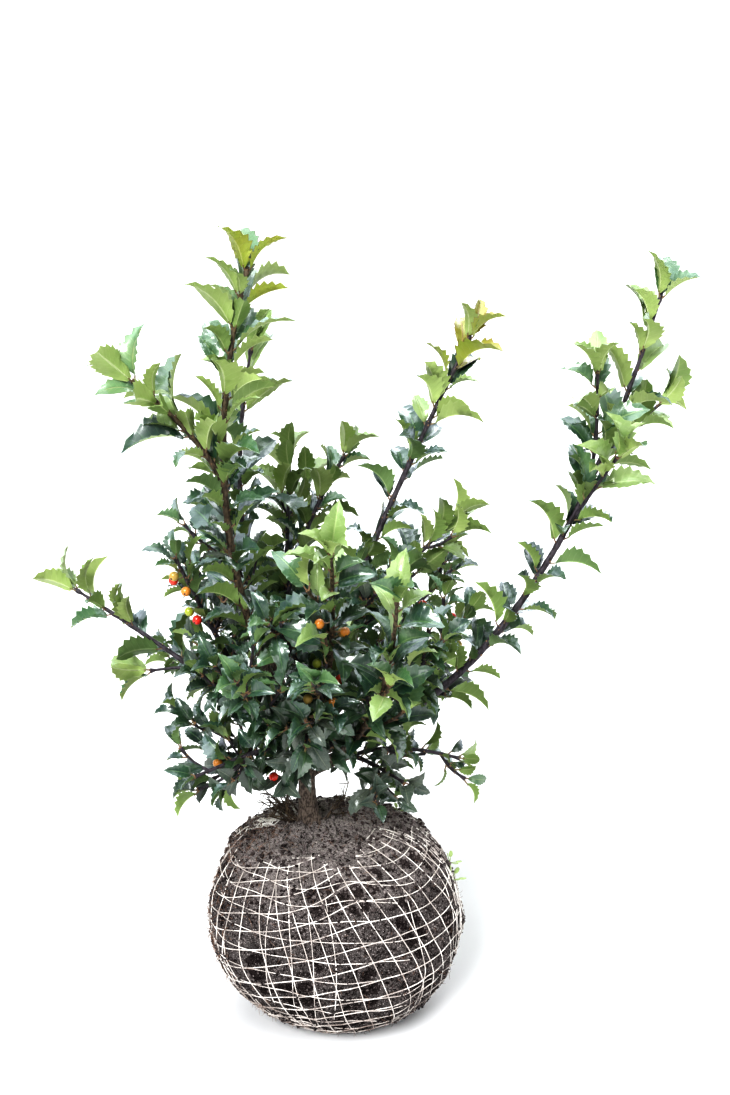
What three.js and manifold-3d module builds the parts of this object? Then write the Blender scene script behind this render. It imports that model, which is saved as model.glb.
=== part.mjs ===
// A young holly shrub on its root ball: a short leaning trunk, a ring of boughs, and shoots of spiny
// leaves that grow on from them. Millimetres and degrees, +Z up, X to the right, Y to the back.
// The origin lies on the flat underside of the root ball, below the middle of the ball.

import Module from 'manifold-3d';
import * as THREE from 'three';
import { mergeVertices } from 'three/addons/utils/BufferGeometryUtils.js';

const { Vector3 } = THREE;
const wasm = await Module();
wasm.setup();

// ---- Driving dimensions -----------------------------------------------------------------------

const CLEARANCE = 0.3; // between pieces that touch
const UP = new Vector3(0, 0, 1);

// Root ball: radius and height of its outline, from the underside to the crown of the soil
const BALL_OUTLINE = [
  [47, 0], [64, 8], [80, 21], [94, 39], [104, 58], [107.5, 76], [105.5, 95],
  [101, 114], [94, 131], [80, 148.5], [64, 156.5], [45, 160.5], [20, 163],
];
const BALL_TOP = 163.5;
const BALL_LEAN = { foot: [8, -17], top: [-3, 2] }; // its middle lies this far to the right and back
const BALL_SEGMENTS = 36;
// Lumps: waves round the ball and up it, share of the radius, bearing of the crest, twist by height
const BALL_LUMPS = [
  { waves: 1, rises: 0, share: 0.018, bearing: 200, twist: -0.35 },
  { waves: 2, rises: 0, share: 0.022, bearing: 20, twist: 0.3 },
  { waves: 3, rises: 0, share: 0.016, bearing: 75, twist: 0.9 },
  { waves: 7, rises: 0, share: 0.007, bearing: 10, twist: 2.0 },
  { waves: 5, rises: 3.2, share: 0.01, bearing: 52, twist: 0.4 },
  { waves: 8, rises: 4.6, share: 0.009, bearing: 17, twist: -0.6 },
];

// Trunk: from the soil to its fork
const GROUND = 160.8; // the seat in the soil under the trunk
const SEAT = { radius: 14, depth: 20, sides: 12 };
const TRUNK_FOOT = new Vector3(-21, 3, GROUND + CLEARANCE);
const TRUNK_FORK = new Vector3(-22, 3, 233);
const TRUNK_BOW = -4; // the trunk bows this far to the left before it comes back to the fork
const TRUNK_RADII = { foot: 7.6, fork: 6.0, flare: 3.2, flareHeight: 0.16, roots: 3, rootShare: 0.45 };
const TRUNK_MESH = [12, 8]; // sides and steps
const BOUGH_MESH = [6, 4];
const HIGHEST_BOUGH = 0.98; // share of the trunk's height

// Boughs. tip: bearing round the trunk (0 to the right, 90 to the back), reach from it, height.
// rise is the angle at which a bough leaves the trunk, at is how far up the trunk it leaves, and
// run is how far it keeps that course.
const BOUGHS = [
  { name: 'leader', at: 1, rise: 53, tip: [-130, 58, 329], run: 0.53, radii: [4.6, 3.3] },
  { name: 'far_right', at: 0.84, rise: 10, tip: [3, 52, 238], run: 0.5, radii: [4.4, 3.6] },
  { name: 'right_rear', at: 1, rise: 83, tip: [34, 20, 304], run: 0.5, radii: [4.0, 3.0] },
  { name: 'back_left', at: 0.97, rise: 58, tip: [146, 48, 330], run: 0.5, radii: [3.6, 2.5] },
  { name: 'back', at: 0.93, rise: 50, tip: [118, 40, 294], run: 0.5, radii: [3.7, 2.8] },
  { name: 'front_right', at: 0.72, rise: 18, tip: [-54, 63, 250], run: 0.55, radii: [3.8, 2.9] },
  { name: 'front', at: 0.95, rise: 38, tip: [-70, 40, 276], run: 0.5, radii: [3.7, 2.8] },
  { name: 'west', at: 0.88, rise: 26, tip: [-180, 34, 247], run: 0.5, radii: [3.7, 2.8] },
  { name: 'front_left', at: 0.62, rise: 22, tip: [-121, 44, 242], run: 0.5, radii: [3.4, 2.6] },
  { name: 'low_right', at: 0.55, rise: 28, tip: [0, 37, 219], run: 0.5, radii: [3.0, 2.2] },
  { name: 'low_left', at: 0.5, rise: 24, tip: [-158, 26, 213], run: 0.5, radii: [2.8, 2.1] },
  { name: 'rear_right', at: 0.8, rise: 30, tip: [51, 48, 256], run: 0.5, radii: [3.5, 2.6] },
  { name: 'rear_left', at: 0.78, rise: 30, tip: [132, 50, 254], run: 0.5, radii: [3.5, 2.6] },
  { name: 'rear', at: 0.66, rise: 24, tip: [85, 45, 242], run: 0.5, radii: [3.3, 2.5] },
];
// One more rises from the soil itself, from this depth in it
const SUCKER = { name: 'sucker', foot: [39, 75], depth: 9, tip: [37, 82, 188], run: 0.5, radii: [2.2, 1.7] };

// Habits of the shoots: distance between leaves, leaf length at the foot and at the tip of a shoot,
// bare stretch at its foot, every how many leaves a side twig grows, how long that is, the radius of
// the space round its stem that the shoot keeps to, and how far a leaf and its upper side turn up.
const LONG = {
  pitch: 17, leaf: [44, 50], bare: 40, twigEvery: 1, twigReach: 0, space: 62, lift: 0.25, light: 0.35,
};
const OPEN = {
  pitch: 16, leaf: [44, 48], bare: 12, twigEvery: 3, twigReach: 42, space: 78, lift: 0.2, light: 0.5,
};
const DENSE = {
  pitch: 17.2, leaf: [44, 48], bare: 8, twigEvery: 2, twigReach: 58, space: 92, lift: 0.05, light: 1.1,
};

// Shoots: name, bough, habit, tip, run, radius of the stem at its foot, seed. Each grows on from the
// tip of its bough, and one that stands aside turns off the bough's course. forks are the large side
// shoots of a stem, and berries stand at a share of its length and an angle round it.
const SHOOTS = [
  ['leader', 'leader', LONG, [-119, 78, 628], 0.54, 3.1, 11, {
    forks: [
      { at: 0.43, tip: [-141, 156, 548], run: 0.3, radius: 2.2 },
    ],
  }],
  ['far_right', 'far_right', LONG, [5, 286, 604], 0.386, 3.4, 12, {
    forks: [
      { at: 0.6, tip: [-1, 231, 542], run: 0.3, radius: 1.5 },
      { at: 0.52, tip: [-6, 247, 478], run: 0.2, radius: 1.4 },
      { at: 0.67, tip: [9, 298, 512], run: 0.2, radius: 1.5 },
    ],
  }],
  ['right_rear', 'right_rear', LONG, [19, 142, 566], 0.3, 2.8, 13],
  ['back_left', 'back_left', LONG, [131, 69, 556], 0.475, 2.3, 14],
  ['west', 'west', LONG, [173, 196, 358], 0.35, 2.6, 15, {
    forks: [
      { at: 0.38, tip: [180, 130, 294], run: 0.2, radius: 1.4 },
    ],
  }],
  ['back_high', 'back', OPEN, [68, 83, 462], 0.4, 2.3, 16],
  ['back_mid', 'back', OPEN, [99, 112, 454], 0.3, 2, 17, { aside: true }],
  ['right_mid', 'right_rear', OPEN, [28, 140, 408], 0.25, 2, 18, { aside: true, berries: [[0.62, 20]] }],
  ['front_high', 'front', OPEN, [-81, 152, 432], 0.35, 2.4, 19, {
    berries: [[0.56, 170], [0.5, 10], [0.45, 330], [0.27, 190], [0.2, 20]],
  }],
  ['front_right', 'front_right', OPEN, [-65, 168, 398], 0.4, 2.5, 20],
  ['low_right', 'low_right', OPEN, [3, 128, 214], 0.4, 1.9, 21],
  ['left_high', 'west', DENSE, [-162, 108, 400], 0.15, 2.1, 24, {
    aside: true,
    berries: [[0.93, 40], [0.89, 200], [0.85, 310], [0.7, 150], [0.66, 20]],
  }],
  ['low_left', 'low_left', DENSE, [-156, 84, 212], 0.4, 1.9, 22, { berries: [[0.14, 60], [0.85, 250]] }],
  ['right_low', 'far_right', DENSE, [19, 144, 330], 0.2, 2, 23, {
    aside: true,
    berries: [[0.8, 100], [0.92, 330]],
  }],
  ['front_low_left', 'front_left', DENSE, [-138, 116, 232], 0.2, 1.9, 27, { aside: true }],
  ['left_low', 'low_left', DENSE, [-172, 104, 262], 0.2, 1.9, 25, { aside: true }],
  ['front_left', 'front_left', DENSE, [-112, 130, 325], 0.3, 2.3, 26],
  ['front_mid', 'front', DENSE, [-86, 160, 338], 0.15, 2.1, 28, {
    aside: true,
    berries: [[0.35, 170], [0.3, 20]],
  }],
  ['front_centre', 'front', DENSE, [-104, 96, 366], 0.15, 1.8, 40, { aside: true }],
  ['left_centre', 'west', DENSE, [-140, 92, 318], 0.15, 1.8, 41, { aside: true }],
  ['front_low', 'front', DENSE, [-97, 98, 280], 0.15, 1.7, 29, { aside: true }],
  ['right_front', 'front_right', DENSE, [-36, 134, 345], 0.2, 2.1, 30, { aside: true }],
  ['low_front_right', 'low_right', DENSE, [-30, 92, 214], 0.2, 1.7, 31, { aside: true }],
  ['rear_right', 'rear_right', DENSE, [43, 172, 350], 0.35, 2.2, 32, {
    berries: [[0.7, 200], [0.64, 60]],
  }],
  ['rear_right_low', 'rear_right', DENSE, [30, 140, 258], 0.2, 1.9, 33, { aside: true }],
  ['rear', 'rear', DENSE, [86, 172, 335], 0.35, 2.1, 34, {
    berries: [[0.6, 60], [0.52, 200]],
  }],
  ['rear_low', 'rear', DENSE, [98, 150, 246], 0.2, 1.8, 35, { aside: true }],
  ['rear_left', 'rear_left', DENSE, [120, 158, 352], 0.35, 2.2, 36, {
    berries: [[0.75, 100]],
  }],
  ['rear_left_low', 'rear_left', DENSE, [150, 142, 290], 0.2, 1.9, 37, { aside: true }],
  ['inner_left', 'back_left', DENSE, [170, 78, 424], 0.15, 1.8, 38, { aside: true }],
  ['inner_right', 'right_rear', DENSE, [-20, 74, 392], 0.15, 1.8, 42, { aside: true }],
  ['sucker', 'sucker', DENSE, [30, 92, 222], 0.3, 1.6, 39],
].map(([name, bough, habit, tip, run, radius, seed, more]) => (
  { name, bough, habit, tip, run, radius, seed, ...more }
));

// Leaves, twigs and berries
const LEAF_WIDTH = 0.58; // share of the length
const LEAF_WIDEST = 0.5;
const LEAF_THICKNESS = 0.022;
const LEAF_ARCH = 0.09; // the midrib rises this share of the length between its two ends
const LEAF_FOLD = 0.1; // the edges stand this share of the length above the midrib
const LEAF_TURN = 137.5; // degrees from one leaf to the next, round the stem
const LEAF_OPEN = { foot: 74, tip: 52 }; // angle between leaf and stem
const LEAF_ROLL = 32; // degrees that a leaf rolls at most to one side, by its place round the stem
const LEAF_SINK = 1.2; // the root of a leaf lies this deep in its stem
const LEAF_FREE = 0.35; // past this share of its length a leaf crosses nothing of its own shoot
const SPREAD = { turn: 0.5, open: 16, length: 0.24, twig: 0.5 }; // chance differences
const TUFT = { at: 0.985, turn: 2.2, open: [26, 36], length: [0.72, 0.92], leaves: [3, 2] }; // at a tip
const TURN_ASIDE = 0.7; // how far a shoot that stands aside turns off its bough's course
const STEM_TIP = 0.8; // radius
const STEM_STEP = 45; // length of one straight stretch of a stem
const STEM_SIDES = 3;
const CORNER = 1.35; // the corners of a three-sided stem stand this much further out than its radius
const TWIG = { open: 48, lift: 0.4, turn: 0.5, run: 0.5, pitch: 0.9, taper: 0.5, radii: [1.25, STEM_TIP] };
const SHORTEST_EDGE = 0.006; // a leaf whose joint would leave a shorter edge is left out
const BERRY_RADIUS = 4.0;
const BERRY_STALK = { length: 6, radius: 0.9 };

// Finishes
const SOIL = { color: 0x4b4038, roughness: 0.95 };
const TRUNK_BARK = { color: 0x6d6257, roughness: 0.85 };
const BARK = { color: 0x574a46, roughness: 0.8 };
const LEAFAGE = { color: 0x3f6a35, roughness: 0.5 };

// ---- Helpers ----------------------------------------------------------------------------------

function radians(degrees) {
  return THREE.MathUtils.degToRad(degrees);
}

// A repeatable row of numbers between 0 and 1
function seeded(seed) {
  let state = Math.imul(seed, 2654435761) >>> 0;
  return () => {
    state = (Math.imul(state, 1664525) + 1013904223) >>> 0;
    return state / 4294967296;
  };
}

// A place by its bearing and reach from the trunk's axis, and its height
function place([bearing, reach, height]) {
  const angle = radians(bearing);
  return new Vector3(
    TRUNK_FORK.x + reach * Math.cos(angle),
    TRUNK_FORK.y + reach * Math.sin(angle),
    height,
  );
}

// A curve that leaves its foot along a course, keeps it for a share of the way, and ends at its tip
function curve(foot, course, tip, run) {
  const elbow = foot.clone().addScaledVector(course, run * foot.distanceTo(tip));
  return new THREE.QuadraticBezierCurve3(foot, elbow, tip);
}

// The point on a curve, with its direction and two directions square to it
function frameOn(path, share) {
  const chord = path.v2.clone().sub(path.v0);
  const along = path.getTangentAt(share);
  const across = new Vector3(-chord.y, chord.x + 1e-6, 0).normalize();
  across.addScaledVector(along, -across.dot(along)).normalize();
  const out = new Vector3().crossVectors(across, along);
  return { point: path.getPointAt(share), along, across, out };
}

function solidOf(geometry) {
  geometry.deleteAttribute('normal');
  geometry.deleteAttribute('uv');
  const merged = mergeVertices(geometry, 1e-4);
  return new wasm.Manifold(new wasm.Mesh({
    numProp: 3,
    vertProperties: merged.attributes.position.array,
    triVerts: Uint32Array.from(merged.index.array),
  }));
}

// The largest of the bodies that a cut leaves
function largestBody(solid) {
  const bodies = solid.decompose();
  return bodies.reduce((best, body) => (body.volume() > best.volume() ? body : best));
}

// A cylinder bent along a curve, its radius a function of how far along and how far round
function limb(path, radiusAt, sides, steps, grow = 0) {
  const tube = new THREE.CylinderGeometry(1, 1, 1, sides, steps);
  const spots = tube.attributes.position;
  for (let i = 0; i < spots.count; i += 1) {
    const step = Math.round((spots.getY(i) + 0.5) * steps);
    const { point, along, across, out } = frameOn(path, step / steps);
    const angle = Math.atan2(spots.getZ(i), spots.getX(i));
    const radius = radiusAt(step / steps, angle) + grow;
    const end = step === 0 ? -grow : (step === steps ? grow : 0);
    point.addScaledVector(along, end);
    point.addScaledVector(across, spots.getX(i) * radius);
    point.addScaledVector(out, spots.getZ(i) * radius);
    spots.setXYZ(i, point.x, point.y, point.z);
  }
  return solidOf(tube);
}

function tapered([foot, tip]) {
  return (share) => THREE.MathUtils.lerp(foot, tip, share);
}

// ---- Root ball --------------------------------------------------------------------------------

function ballRadiusShare(angle, height) {
  let share = 1;
  for (const lump of BALL_LUMPS) {
    const up = height / BALL_TOP;
    const round = Math.cos(lump.waves * (angle - radians(lump.bearing) - lump.twist * up));
    share += lump.share * round * Math.cos(Math.PI * lump.rises * up);
  }
  return share;
}

function rootBall() {
  const outline = [[0, 0], ...BALL_OUTLINE, [0, BALL_TOP]];
  const profile = outline.map(([radius, height]) => new THREE.Vector2(radius, height));
  const ball = new THREE.LatheGeometry(profile, BALL_SEGMENTS);
  ball.rotateX(Math.PI / 2);
  const spots = ball.attributes.position;
  for (let i = 0; i < spots.count; i += 1) {
    const angle = Math.atan2(spots.getY(i), spots.getX(i));
    const share = ballRadiusShare(angle, spots.getZ(i));
    const up = spots.getZ(i) / BALL_TOP;
    const lean = [0, 1].map((axis) => THREE.MathUtils.lerp(BALL_LEAN.foot[axis], BALL_LEAN.top[axis], up));
    spots.setXY(i, spots.getX(i) * share + lean[0], spots.getY(i) * share + lean[1]);
  }
  const seat = new THREE.CylinderGeometry(SEAT.radius, SEAT.radius, SEAT.depth, SEAT.sides);
  seat.rotateX(Math.PI / 2);
  seat.translate(TRUNK_FOOT.x, TRUNK_FOOT.y, GROUND + SEAT.depth / 2);
  return solidOf(ball).subtract(solidOf(seat));
}

// ---- Trunk and boughs -------------------------------------------------------------------------

const trunkLine = new THREE.QuadraticBezierCurve3(
  TRUNK_FOOT,
  new Vector3(TRUNK_FOOT.x + TRUNK_BOW, TRUNK_FOOT.y, (TRUNK_FOOT.z + TRUNK_FORK.z) / 2),
  TRUNK_FORK,
);

function trunkRadius(share, angle) {
  const { foot, fork, flare, flareHeight, roots, rootShare } = TRUNK_RADII;
  const root = Math.exp(-share / flareHeight) * flare * (1 + rootShare * Math.cos(roots * angle));
  return THREE.MathUtils.lerp(foot, fork, share) + root;
}

// The trunk starts on a flat cut, so its foot is square to the ground
function trunk(grow = 0) {
  const whole = limb(trunkLine, trunkRadius, ...TRUNK_MESH, grow);
  const below = new THREE.BoxGeometry(4 * SEAT.radius, 4 * SEAT.radius, SEAT.depth);
  below.translate(TRUNK_FOOT.x, TRUNK_FOOT.y, TRUNK_FOOT.z - grow - SEAT.depth / 2);
  return whole.subtract(solidOf(below));
}

function boughLine(bough) {
  const angle = radians(bough.tip[0]);
  const rise = radians(bough.rise);
  const foot = trunkLine.getPointAt(Math.min(bough.at, HIGHEST_BOUGH));
  const level = new Vector3(Math.cos(angle), Math.sin(angle), 0);
  const course = level.multiplyScalar(Math.cos(rise)).addScaledVector(UP, Math.sin(rise));
  return curve(foot, course, place(bough.tip), bough.run);
}

function suckerLine() {
  const foot = place([...SUCKER.foot, GROUND - SUCKER.depth]);
  return curve(foot, UP, place(SUCKER.tip), SUCKER.run);
}

// ---- Leaves, berries and shoots ---------------------------------------------------------------

// A folded, arched blade of eight faces. from and to are the shares of its length that it covers.
function blade(leaf, grow = 0, from = 0) {
  const across = new Vector3().crossVectors(leaf.up, leaf.along);
  const shape = new THREE.OctahedronGeometry(1);
  const spots = shape.attributes.position;
  const half = (LEAF_WIDTH / 2) * leaf.length + grow;
  const thick = (LEAF_THICKNESS / 2) * leaf.length + grow;
  for (let i = 0; i < spots.count; i += 1) {
    const [x, y, z] = [spots.getX(i), spots.getY(i), spots.getZ(i)];
    const middle = 1 - x * x;
    const end = x < 0 ? from * leaf.length - grow : leaf.length + grow;
    const reach = Math.abs(x) > 0.5 ? end : LEAF_WIDEST * leaf.length;
    const lift = (LEAF_ARCH * middle + LEAF_FOLD * y * y) * leaf.length + z * thick;
    const spot = leaf.root.clone().addScaledVector(leaf.along, reach);
    spot.addScaledVector(across, y * half).addScaledVector(leaf.up, lift);
    spots.setXYZ(i, spot.x, spot.y, spot.z);
  }
  return solidOf(shape);
}

// A berry on a short stalk, at a share of the stem's length and an angle round it
function berry(line, [share, degrees]) {
  const { point, across, out } = frameOn(line.path, share);
  const angle = radians(degrees);
  const side = across.multiplyScalar(Math.cos(angle)).addScaledVector(out, Math.sin(angle));
  const middle = point.clone().addScaledVector(side, BERRY_STALK.length + BERRY_RADIUS);
  const ball = new THREE.IcosahedronGeometry(BERRY_RADIUS);
  ball.translate(middle.x, middle.y, middle.z);
  const stalk = limb(curve(point, side, middle, 0.5), () => BERRY_STALK.radius, 3, 1);
  return solidOf(ball).add(stalk);
}

// One leaf on a stem: turn is how far round the stem it stands, open how far it leans from it
function leafOn(line, habit, share, turn, open, length) {
  const { point, along, across, out } = frameOn(line.path, share);
  const depth = Math.max(0, (tapered(line.radii)(share) * CORNER) / 2 - LEAF_SINK);
  const side = across.multiplyScalar(Math.cos(turn)).addScaledVector(out, Math.sin(turn));
  const course = along.clone().multiplyScalar(Math.cos(open)).addScaledVector(side, Math.sin(open));
  course.addScaledVector(UP, habit.lift).normalize();
  const up = along.multiplyScalar(Math.sin(open)).addScaledVector(side, -Math.cos(open));
  up.addScaledVector(UP, habit.light);
  up.addScaledVector(course, -up.dot(course)).normalize();
  up.applyAxisAngle(course, radians(LEAF_ROLL) * Math.sin(3 * turn));
  return { root: point.addScaledVector(side, depth), along: course, up, length };
}

// The leaves and side twigs of one stem, by the seeded rule
function dress(line, habit, random) {
  const { path, order } = line;
  const { lerp } = THREE.MathUtils;
  const around = (spread) => (random() - 0.5) * spread;
  const twigs = [];
  const leaves = [];
  const length = path.getLength();
  const pitch = habit.pitch * (order ? TWIG.pitch : 1);
  const count = Math.max(0, Math.floor((length - habit.bare) / pitch));
  const firstTurn = random() * 2 * Math.PI;
  for (let i = 0; i < count; i += 1) {
    const share = (habit.bare + i * pitch) / length;
    const turn = firstTurn + radians(i * LEAF_TURN) + around(SPREAD.turn);
    const open = radians(lerp(LEAF_OPEN.foot, LEAF_OPEN.tip, share) + around(SPREAD.open));
    const size = lerp(habit.leaf[0], habit.leaf[1], share) * (1 + around(SPREAD.length));
    const reach = habit.twigReach * (1 - TWIG.taper * share) * (1 + around(SPREAD.twig));
    leaves.push(leafOn(line, habit, share, turn, open, size));
    if (order === 0 && habit.twigReach > 0 && i % habit.twigEvery === 1) {
      twigs.push({ path: sideTwig(path, share, turn + TWIG.turn, reach), radii: TWIG.radii, order: 1 });
    }
  }
  for (let i = 0; i < TUFT.leaves[order]; i += 1) {
    const turn = firstTurn + i * TUFT.turn + 1;
    const size = habit.leaf[1] * lerp(...TUFT.length, random());
    const open = radians(lerp(...TUFT.open, random()));
    leaves.push(leafOn(line, habit, TUFT.at, turn, open, size));
  }
  return { twigs, leaves };
}

function sideTwig(path, share, turn, reach) {
  const { point, along, across, out } = frameOn(path, share);
  const open = radians(TWIG.open);
  const side = across.multiplyScalar(Math.cos(turn)).addScaledVector(out, Math.sin(turn));
  const course = along.multiplyScalar(Math.cos(open)).addScaledVector(side, Math.sin(open)).normalize();
  const tip = course.clone().addScaledVector(UP, TWIG.lift).normalize().multiplyScalar(reach).add(point);
  return curve(point, course, tip, TWIG.run);
}

// ---- The plant --------------------------------------------------------------------------------

const plant = new THREE.Group();
plant.name = 'holly';
const standing = []; // every solid made so far, with its box
const limbsGrown = []; // trunk, boughs and stems, each grown by the clearance

function overlap(a, b) {
  return [0, 1, 2].every((axis) => a.min[axis] < b.max[axis] && b.min[axis] < a.max[axis]);
}

function touches(solid, others) {
  const box = solid.boundingBox();
  return others.some((other) => overlap(box, other.box) && !solid.intersect(other.solid).isEmpty());
}

function boxed(solid) {
  return { solid, box: solid.boundingBox() };
}

function stand(name, solid, finish) {
  const mesh = solid.getMesh();
  const geometry = new THREE.BufferGeometry();
  geometry.setAttribute('position', new THREE.BufferAttribute(mesh.vertProperties.slice(), 3));
  geometry.setIndex(new THREE.BufferAttribute(mesh.triVerts.slice(), 1));
  const material = new THREE.MeshStandardMaterial({ ...finish, metalness: 0 });
  const piece = new THREE.Mesh(geometry, material);
  piece.name = name;
  plant.add(piece);
  standing.push(boxed(solid));
}

function cutClear(solid) {
  const box = solid.boundingBox();
  let cut = solid;
  for (const other of limbsGrown) {
    if (overlap(box, other.box)) {
      cut = cut.subtract(other.solid);
    }
  }
  return largestBody(cut);
}

stand('root_ball', rootBall(), SOIL);
limbsGrown.push(boxed(rootBall().scale([1, 1, 1 + CLEARANCE / BALL_TOP])));
stand('trunk', trunk(), TRUNK_BARK);
limbsGrown.push(boxed(trunk(CLEARANCE)));

const boughLines = {};
for (const bough of [...BOUGHS, SUCKER]) {
  const path = bough === SUCKER ? suckerLine() : boughLine(bough);
  boughLines[bough.name] = path;
  const radius = tapered(bough.radii);
  stand(`bough_${bough.name}`, cutClear(limb(path, radius, ...BOUGH_MESH)), BARK);
  limbsGrown.push(boxed(limb(path, radius, ...BOUGH_MESH, CLEARANCE)));
}

// The stem of a shoot with its named forks
function stemLines(shoot) {
  const bough = boughLines[shoot.bough];
  const tip = place(shoot.tip);
  const course = bough.getTangentAt(1);
  course.lerp(tip.clone().sub(bough.v2).normalize(), shoot.aside ? TURN_ASIDE : 0).normalize();
  const path = curve(bough.v2, course, tip, shoot.run);
  const lines = [{ path, radii: [shoot.radius, STEM_TIP], order: 0 }];
  for (const fork of shoot.forks ?? []) {
    const foot = path.getPointAt(fork.at);
    const side = curve(foot, path.getTangentAt(fork.at), place(fork.tip), fork.run);
    lines.push({ path: side, radii: [fork.radius, STEM_TIP], order: 0 });
  }
  return lines;
}

function tubeOf(line, grow = 0) {
  const steps = line.order ? 1 : Math.max(2, Math.round(line.path.getLength() / STEM_STEP));
  const corners = tapered(line.radii.map((radius) => radius * CORNER));
  return limb(line.path, corners, STEM_SIDES, steps, grow / Math.cos(Math.PI / STEM_SIDES));
}

// Stems come first, each cut clear of the boughs and of the stems before it
function raiseStems(shoot) {
  const lines = stemLines(shoot);
  const whole = lines.map((line) => tubeOf(line)).reduce((body, tube) => body.add(tube));
  const body = cutClear(whole);
  lines.forEach((line) => limbsGrown.push(boxed(tubeOf(line, CLEARANCE))));
  return { shoot, lines, body };
}

function countShortEdges(solid) {
  const { vertProperties, triVerts } = solid.getMesh();
  const corner = (index) => new Vector3().fromArray(vertProperties, 3 * triVerts[index]);
  let count = 0;
  for (let i = 0; i < triVerts.length; i += 1) {
    const next = i % 3 === 2 ? i - 2 : i + 1;
    count += corner(i).distanceTo(corner(next)) < SHORTEST_EDGE ? 1 : 0;
  }
  return count;
}

// A leaf is fused on only where that leaves one body with no new sliver of an edge
function isSound(joined, before) {
  return joined.decompose().length === 1 && countShortEdges(joined) <= countShortEdges(before);
}

function distanceTo(lines, spot) {
  const places = lines.flatMap((line) => line.path.getPoints(12));
  return Math.min(...places.map((place) => place.distanceTo(spot)));
}

// Side twigs and leaves by the seeded rule: one that would leave the shoot's space is left out, and
// so is one that would touch another piece or cross a leaf of its own shoot
function leafOut(raised) {
  const { shoot, lines } = raised;
  const random = seeded(shoot.seed);
  const otherStems = stems.filter((other) => other !== raised);
  const others = [...standing, ...otherStems.map((other) => boxed(other.body))];
  let body = raised.body;
  const own = [boxed(body)];
  const leaves = [];
  for (const spot of shoot.berries ?? []) {
    const fruit = berry(lines[0], spot);
    const joined = body.add(fruit);
    if (!touches(fruit, others) && isSound(joined, body)) {
      body = joined;
      own.push(boxed(fruit));
    }
  }
  for (const line of lines) {
    const dressed = dress(line, shoot.habit, random);
    leaves.push(...dressed.leaves);
    for (const twig of dressed.twigs) {
      const more = dress(twig, shoot.habit, random).leaves;
      const joined = body.add(tubeOf(twig));
      if (!touches(tubeOf(twig, CLEARANCE), others) && isSound(joined, body)) {
        body = joined;
        leaves.push(...more);
      }
    }
  }
  for (const leaf of leaves) {
    const tip = leaf.root.clone().addScaledVector(leaf.along, leaf.length);
    const strays = distanceTo(lines, tip) > shoot.habit.space;
    const meets = touches(blade(leaf, CLEARANCE), others);
    const crosses = touches(blade(leaf, CLEARANCE, LEAF_FREE), own);
    const joined = body.add(blade(leaf));
    if (!strays && !meets && !crosses && isSound(joined, body)) {
      own.push(boxed(blade(leaf)));
      body = joined;
    }
  }
  stand(`foliage_${shoot.name}`, largestBody(body), LEAFAGE);
}

const stems = SHOOTS.map(raiseStems);
stems.forEach(leafOut);

export default plant;
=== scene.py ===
"""A young holly shrub on its netted root ball, dressed over its solids. Metres, +Z up, Y to the back.

The shoots grow by the rule of the solids, in millimetres, and carry finer twigs and real leaves.
"""

import math

import bpy
import numpy as np
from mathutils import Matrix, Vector, noise
from mathutils.bvhtree import BVHTree


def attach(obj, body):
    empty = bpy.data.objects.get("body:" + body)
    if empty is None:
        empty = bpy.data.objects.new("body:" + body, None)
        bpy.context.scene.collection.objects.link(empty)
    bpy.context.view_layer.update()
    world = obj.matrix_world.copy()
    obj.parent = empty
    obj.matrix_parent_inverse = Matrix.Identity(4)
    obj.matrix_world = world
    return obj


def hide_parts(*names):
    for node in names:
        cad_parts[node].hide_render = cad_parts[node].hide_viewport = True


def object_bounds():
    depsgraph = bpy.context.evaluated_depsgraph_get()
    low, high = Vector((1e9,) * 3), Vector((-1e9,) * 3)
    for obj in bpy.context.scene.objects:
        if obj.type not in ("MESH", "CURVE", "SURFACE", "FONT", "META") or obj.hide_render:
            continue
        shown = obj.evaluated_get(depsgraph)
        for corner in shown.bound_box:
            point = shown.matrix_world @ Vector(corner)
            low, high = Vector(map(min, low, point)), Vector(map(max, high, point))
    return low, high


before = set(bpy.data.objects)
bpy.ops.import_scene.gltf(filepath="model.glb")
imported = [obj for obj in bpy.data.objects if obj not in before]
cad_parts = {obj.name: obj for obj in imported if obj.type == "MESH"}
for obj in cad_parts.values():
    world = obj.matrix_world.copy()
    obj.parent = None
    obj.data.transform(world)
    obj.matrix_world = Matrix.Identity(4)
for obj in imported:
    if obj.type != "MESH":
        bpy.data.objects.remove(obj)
CAD_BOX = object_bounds()
noise.seed_set(3)  # without a seed the net would be pulled another way on each run

MM = 0.001
TURN = 2 * math.pi
UP = np.array([0.0, 0.0, 1.0])
RIGHT = np.array([1.0, 0.0, 0.0])

# ---- Sizes, in millimetres ----------------------------------------------------------------------

# Root ball: radius and height of its outline, its lumps and its lean
BALL_OUTLINE = [
    (0, 0), (47, 0), (64, 8), (80, 21), (94, 39), (104, 58), (107.5, 76), (105.5, 95),
    (101, 114), (94, 131), (80, 148.5), (64, 156.5), (45, 160.5), (20, 163), (0, 163.5),
]
BALL_TOP = 163.5
BALL_LEAN = ((8, -17), (-3, 2))
BALL_LUMPS = [  # waves round the ball and up it, share of the radius, bearing of the crest, twist
    (1, 0, 0.018, 200, -0.35), (2, 0, 0.022, 20, 0.3), (3, 0, 0.016, 75, 0.9),
    (7, 0, 0.007, 10, 2.0), (5, 3.2, 0.01, 52, 0.4), (8, 4.6, 0.009, 17, -0.6),
]
GROUND = 160.8

# Trunk
TRUNK_FOOT = np.array([-21, 3, 161.1])
TRUNK_FORK = np.array([-22, 3, 233.0])
TRUNK_BOW = -4
TRUNK_RADII = (7.6, 6.0)
FLARE, FLARE_HEIGHT, ROOTS, ROOT_SHARE = 3.2, 0.16, 3, 0.45
HIGHEST_BOUGH = 0.98

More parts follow.
